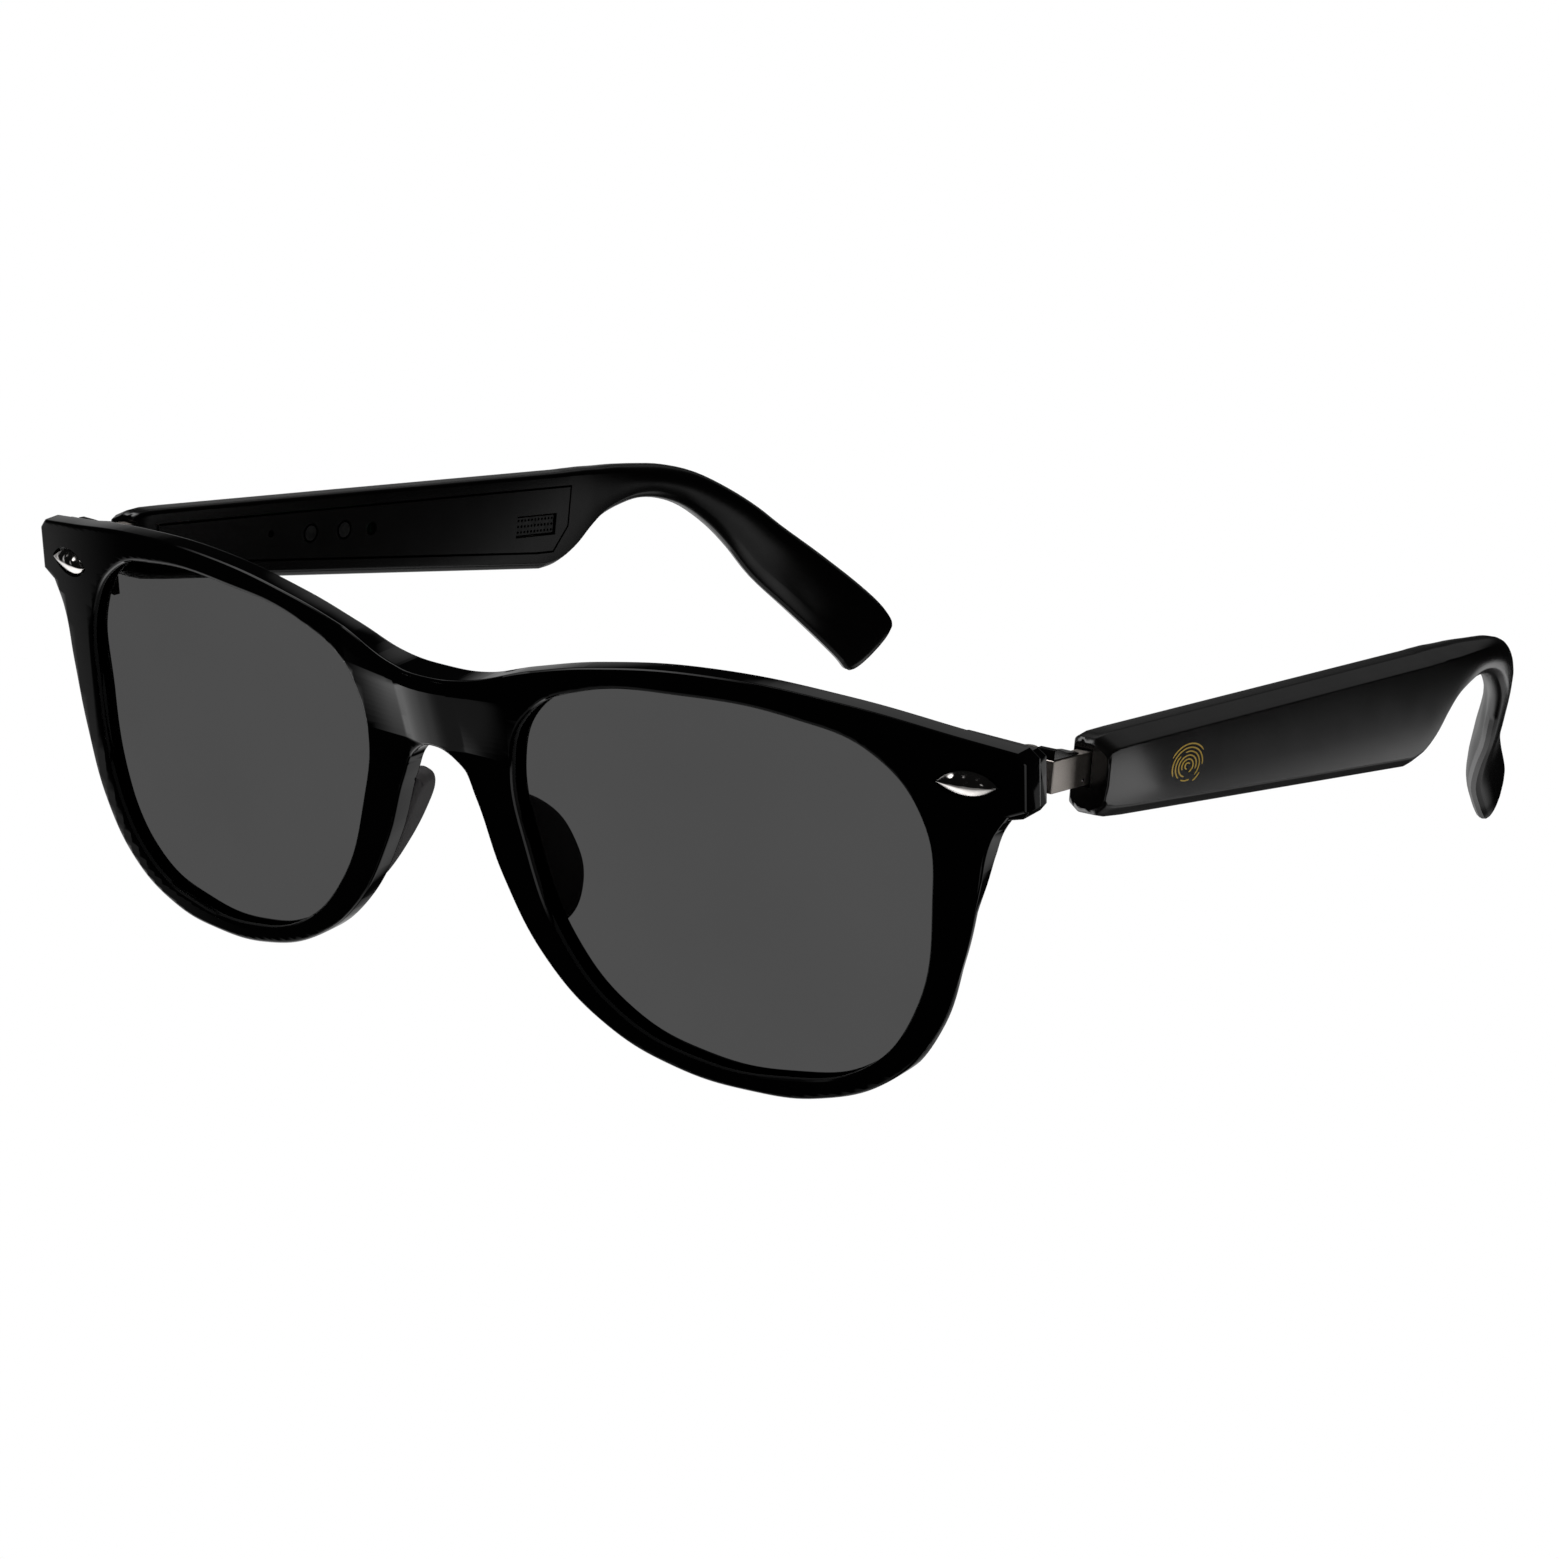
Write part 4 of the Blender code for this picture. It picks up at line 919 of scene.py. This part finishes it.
def blended_rows(rows, between):
    """More rows on Catmull-Rom curves through the given ones."""
    made = []
    for index in range(len(rows) - 1):
        before = rows[max(index - 1, 0)]
        start, end = rows[index], rows[index + 1]
        after = rows[min(index + 2, len(rows) - 1)]
        for step in range(between):
            t = step / between
            row = []
            for a, b, c, d in zip(before, start, end, after):
                row.append(0.5 * (2 * b + (c - a) * t + (2 * a - 5 * b + 4 * c - d) * t * t
                                  + (3 * b - a - 3 * c + d) * t ** 3))
            made.append(tuple(row))
    made.append(rows[-1])
    return made


def section_ring(height, thickness, roundness):
    """Points round a section: a chamfered block with softened corners that turns into an oval."""
    wide, high = thickness / 2, height / 2
    (top_out, top_out_drop), (top_in, top_in_drop) = TOP_OUTER_CHAMFER, TOP_INNER_CHAMFER
    (low_in, low_in_rise), (low_out, low_out_rise) = BOTTOM_INNER_CHAMFER, BOTTOM_OUTER_CHAMFER
    block = [Vector(corner) for corner in (
        (wide, low_out_rise - high), (wide, high - top_out_drop), (wide - top_out, high),
        (top_in - wide, high), (-wide, high - top_in_drop), (-wide, low_in_rise - high),
        (low_in - wide, -high), (wide - low_out, -high))]
    ring = []
    for index, corner in enumerate(block):
        before, after = block[index - 1], block[(index + 1) % len(block)]
        turn, turn_after = SECTION_ANGLES[index], SECTION_ANGLES[(index + 1) % len(block)]
        turn_after += 360 if turn_after < turn else 0
        enter = corner + (before - corner).normalized() * CORNER_ROUND
        leave = corner + (after - corner).normalized() * CORNER_ROUND
        next_enter = after + (corner - after).normalized() * CORNER_ROUND
        middle = (enter + leave) / 4 + corner / 2
        flat = [enter, middle, leave, leave.lerp(next_enter, 1 / 3), leave.lerp(next_enter, 2 / 3)]
        reach = turn_after - turn
        angles = [turn - CORNER_SPREAD_DEG, turn, turn + CORNER_SPREAD_DEG, turn + reach / 3,
                  turn + 2 * reach / 3]
        for point, angle in zip(flat, angles):
            out, up = math.cos(math.radians(angle)), math.sin(math.radians(angle))
            oval = Vector((wide * math.copysign(abs(out) ** OVAL_FULLNESS, out),
                           high * math.copysign(abs(up) ** OVAL_FULLNESS, up)))
            ring.append(point.lerp(oval, min(max(roundness, 0.0), 1.0)))
    return ring


def loft_temple():
    """The temple's outside in one skin, from the front end of its housing to the tip of its hook."""
    rows = housing_rows()
    rows += blended_rows(rows[-1:] + HOOK_SECTIONS + TIP_SECTIONS, ROWS_BETWEEN)[1:]
    centres = [Vector((across, along, up)) for along, up, across, *_ in rows]
    shape = bmesh.new()
    rings = []
    for index, (along, _, _, height, thickness, twist, roundness) in enumerate(rows):
        forward = (centres[min(index + 1, len(rows) - 1)] - centres[max(index - 1, 0)]).normalized()
        straight = 1 - share_between(along, (HOUSING_LENGTH, HOOK_FREE))
        forward = forward.lerp(Vector((0.0, 1.0, 0.0)), straight).normalized()
        outward = (Vector((1.0, 0.0, 0.0)) - forward * forward.x).normalized()
        upward = outward.cross(forward)
        turn = math.radians(twist)
        wide = outward * math.cos(turn) + upward * math.sin(turn)
        tall = upward * math.cos(turn) - outward * math.sin(turn)
        rings.append([shape.verts.new(centres[index] + wide * p.x + tall * p.y)
                      for p in section_ring(height, thickness, roundness)])
    join_rings(shape, rings, capped=True)
    front_edges = [e for e in shape.edges if all(v in rings[0] for v in e.verts)]
    bmesh.ops.bevel(shape, geom=front_edges, offset=HOUSING_EDGE, segments=3, profile=0.5, affect="EDGES")
    bmesh.ops.recalc_face_normals(shape, faces=shape.faces)
    return to_mesh(shape)


def side_block(outline, faces):
    """A block in the temple's side view between two faces across."""
    shape = bmesh.new()
    near = [shape.verts.new((faces[0], along, up)) for along, up in outline]
    far = [shape.verts.new((faces[1], along, up)) for along, up in outline]
    join_rings(shape, [near, far], capped=True)
    bmesh.ops.recalc_face_normals(shape, faces=shape.faces)
    return to_mesh(shape)


def temple_place(side):
    return for_side(side, TEMPLE @ SCALE)


def make_temple(side, material):
    """The housing with its hook, its pocket for the electronics and its slot for the link."""
    place = temple_place(side)
    shell = new_object("temple_" + side + "_housing", loft_temple(), material, place)
    inner = -TEMPLE_THICKNESS / 2 - OVERRUN
    wall = TEMPLE_THICKNESS / 2 - OUTER_WALL
    boolean(shell, side_block(POCKET_OUTLINE, (inner, wall)), "DIFFERENCE", place)
    mouth = box_mesh((LINK_FACES[0] - GAP, -OVERRUN, LINK_UP[0] - GAP),
                     (LINK_FACES[1] + GAP, LINK_MOUTH_DEPTH, LINK_UP[1] + GAP))
    boolean(shell, mouth, "DIFFERENCE", place)
    finish_shading(shell, 32.0)
    body = side + "_temple"
    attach(shell, body)
    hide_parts("temple_shell_" + side)


def make_touch_mark(side, material):
    """Raised metal ridges on the temple's outer face."""
    shape = bmesh.new()
    face = TEMPLE_THICKNESS / 2
    for radius, first, last in MARK_RIDGES:
        count = max(6, int((last - first) / MARK_STEP_DEG))
        rings = []
        for step in range(count + 1):
            turn = math.radians(first + (last - first) * step / count)
            out = Vector((math.cos(turn), math.sin(turn)))
            taper = 1.0 if 0 < step < count else MARK_END_TAPER
            ring = []
            for corner in range(MARK_SIDES):
                bend = math.pi * corner / (MARK_SIDES - 1)
                reach = radius + MARK_WIRE * taper * math.cos(bend)
                proud = face - MARK_SUNK + MARK_RISE * taper * math.sin(bend)
                ring.append(shape.verts.new((proud, MARK_CENTRE[0] - out.x * reach * MARK_STRETCH[0],
                                             MARK_CENTRE[1] + out.y * reach * MARK_STRETCH[1])))
            rings.append(ring)
        join_rings(shape, rings, capped=True)
    bmesh.ops.recalc_face_normals(shape, faces=shape.faces)
    mark = new_object("touch_mark_" + side, to_mesh(shape), material, temple_place(side))
    smooth_faces(mark, 50.0)
    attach(mark, side + "_temple")


def make_grille(side, material):
    """The speaker's grille: a thin plate with three rows of round holes."""
    ends, height = SOUND_SLOT
    low, high = (ends[0] + GAP, height[0] + GAP), (ends[1] - GAP, height[1] - GAP)
    outline = [Vector((low[0], low[1])), Vector((high[0], low[1])), Vector((high[0], high[1])),
               Vector((low[0], high[1]))]
    holes = []
    columns, rows = GRILLE_HOLES
    for column in range(columns):
        for row in range(rows):
            centre = Vector((low[0] + (high[0] - low[0]) * (column + 0.5) / columns,
                             low[1] + (high[1] - low[1]) * (row + 0.5) / rows))
            holes.append([centre + Vector((math.cos(turn), math.sin(turn))) * GRILLE_HOLE_RADIUS
                          for turn in (2 * math.pi * step / 12 for step in range(12))])
    inner = -TEMPLE_THICKNESS / 2 + GRILLE_SETBACK
    profile = [(0.0, inner), (0.0, inner + GRILLE_THICKNESS)]
    shape = profiled_plate([outline] + holes, [profile] * (1 + len(holes)))
    shape.transform(SWAP_X_AND_Y)
    bmesh.ops.recalc_face_normals(shape, faces=shape.faces)
    grille = new_object("grille_" + side + "_mesh", to_mesh(shape), material, temple_place(side))
    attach(grille, side + "_temple")
    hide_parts("speaker_grille_" + side)


def make_link(side, material):
    """The hinge link: a flat bar whose tab reaches in to the eye round the hinge pin."""
    place = temple_place(side)
    bar = box_mesh((LINK_FACES[0], LINK_ENDS[0], LINK_UP[0]), (LINK_FACES[1], LINK_ENDS[1], LINK_UP[1]),
                   LINK_EDGE)
    link = new_object("link_" + side + "_bar", bar, material, place)
    boolean(link, box_mesh(*LINK_TAB), "UNION", place)
    eye = bmesh.new()
    middle = (PIN[0], PIN[1], sum(LINK_EYE_Z) / 2)
    bmesh.ops.create_cone(eye, cap_ends=True, segments=32, radius1=KNUCKLE_RADIUS, radius2=KNUCKLE_RADIUS,
                          depth=LINK_EYE_Z[1] - LINK_EYE_Z[0], matrix=Matrix.Translation(middle))
    boolean(link, to_mesh(eye), "UNION", front_place(side))
    finish_shading(link)
    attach(link, side + "_link")
    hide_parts("hinge_link_" + side)


def make_cap(side, material):
    """The dark cap over the link, thick at the front and thin where it meets the temple."""
    shape = bmesh.new()
    shape.from_mesh(side_block(CAP_OUTLINE, CAP_FACES))
    bmesh.ops.bevel(shape, geom=shape.edges[:], offset=CAP_EDGE, segments=2, profile=0.5, affect="EDGES")
    cap = new_object("cap_" + side + "_cover", to_mesh(shape), material, temple_place(side))
    finish_shading(cap, 40.0)
    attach(cap, side + "_link")
    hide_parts("hinge_cap_" + side)


def make_link_dot(side, material):
    """The polished end of the cross pin in the link's outer face."""
    shape = bmesh.new()
    place = Matrix.Translation(PIN_END_PLACE) @ Matrix.Diagonal((*PIN_END_RADII, 1.0))
    bmesh.ops.create_uvsphere(shape, u_segments=20, v_segments=14, radius=1.0, matrix=place)
    dot = new_object("link_pin_end_" + side, to_mesh(shape), material, temple_place(side))
    dot.data.shade_smooth()
    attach(dot, side + "_link")


# ---------------------------------------------------------------- everything together

def dress_nodes(materials):
    """Give the CAD nodes that stay in view their finished materials."""
    looks = {
        "temple_cover": "satin", "front_hinge": "steel",
        "hinge_pin": "steel", "spring_socket": "steel", "hinge_spring": "steel", "circuit_board": "board",
        "touch_pad": "copper", "battery": "foil", "speaker": "steel", "microphone": "grille",
        "charging_contact_front": "grille", "charging_contact_rear": "grille", "status_light": "pipe",
    }
    for base, look in looks.items():
        for side in SIDES:
            node = frame["nodes"][base + "_" + side]
            for slot in node.material_slots:
                slot.material = materials[look]


make_camera()
make_studio()
make_floor()
for name, glow in GLOWS.items():
    make_glow(name, *glow)
make_mark_lamp()

MATERIALS = {
    "gloss": make_plastic("gloss_black", (0.0006, 0.0006, 0.0007), (0.0012, 0.0011, 0.0012),
                          (0.03, 0.07), 900.0, 0.000002, 0.05),
    "satin": make_plastic("satin_black", (0.0012, 0.0011, 0.0011), (0.0026, 0.0023, 0.0022),
                          (0.22, 0.29), 5200.0, 0.000006, 0.2),
    "pad": make_plastic("pad_black", (0.10, 0.095, 0.097), (0.13, 0.122, 0.125),
                        (0.42, 0.55), 4200.0, 0.000008, 0.25),
    "lens": make_glass("grey_lens", (0.070, 0.070, 0.070), (0.075, 0.075, 0.075), 0.0),
    "chrome": make_metal("polished_chrome", (0.62, 0.59, 0.57), (0.80, 0.77, 0.75), (0.06, 0.14)),
    "steel": make_metal("brushed_nickel", (0.40, 0.37, 0.34), (0.56, 0.52, 0.48),
                        (0.28, 0.42), (1, 12, 12)),
    "link": make_metal("link_nickel", (0.78, 0.71, 0.65), (0.90, 0.83, 0.77),
                       (0.35, 0.5), (1, 10, 10)),
    "mark": make_plastic("gold_paint", (0.50, 0.33, 0.05), (0.64, 0.43, 0.08),
                         (0.35, 0.45), 3000.0, 0.000004, 0.2),
    "grille": make_metal("dark_grille", (0.05, 0.05, 0.05), (0.11, 0.11, 0.11), (0.3, 0.45)),
    "copper": make_metal("copper_film", (0.5, 0.24, 0.13), (0.72, 0.38, 0.22), (0.3, 0.45)),
    "foil": make_metal("battery_foil", (0.5, 0.5, 0.52), (0.68, 0.69, 0.7), (0.35, 0.5)),
    "board": make_plastic("solder_mask", (0.006, 0.05, 0.02), (0.012, 0.09, 0.04),
                          (0.3, 0.45), 2400.0, 0.00002, 0.3),
    "pipe": make_glass("light_pipe", (0.8, 0.84, 0.86), (0.9, 0.93, 0.95), 0.25),
}

make_front(MATERIALS["gloss"])
for SIDE in SIDES:
    make_rivet(SIDE, MATERIALS["chrome"])
    make_lens(SIDE, MATERIALS["lens"])
    make_nose_pad(SIDE, MATERIALS["pad"])
    make_temple(SIDE, MATERIALS["satin"])
    make_touch_mark(SIDE, MATERIALS["mark"])
    make_grille(SIDE, MATERIALS["grille"])
    make_link(SIDE, MATERIALS["link"])
    make_cap(SIDE, MATERIALS["satin"])
    make_link_dot(SIDE, MATERIALS["chrome"])
dress_nodes(MATERIALS)

bpy.context.view_layer.update()
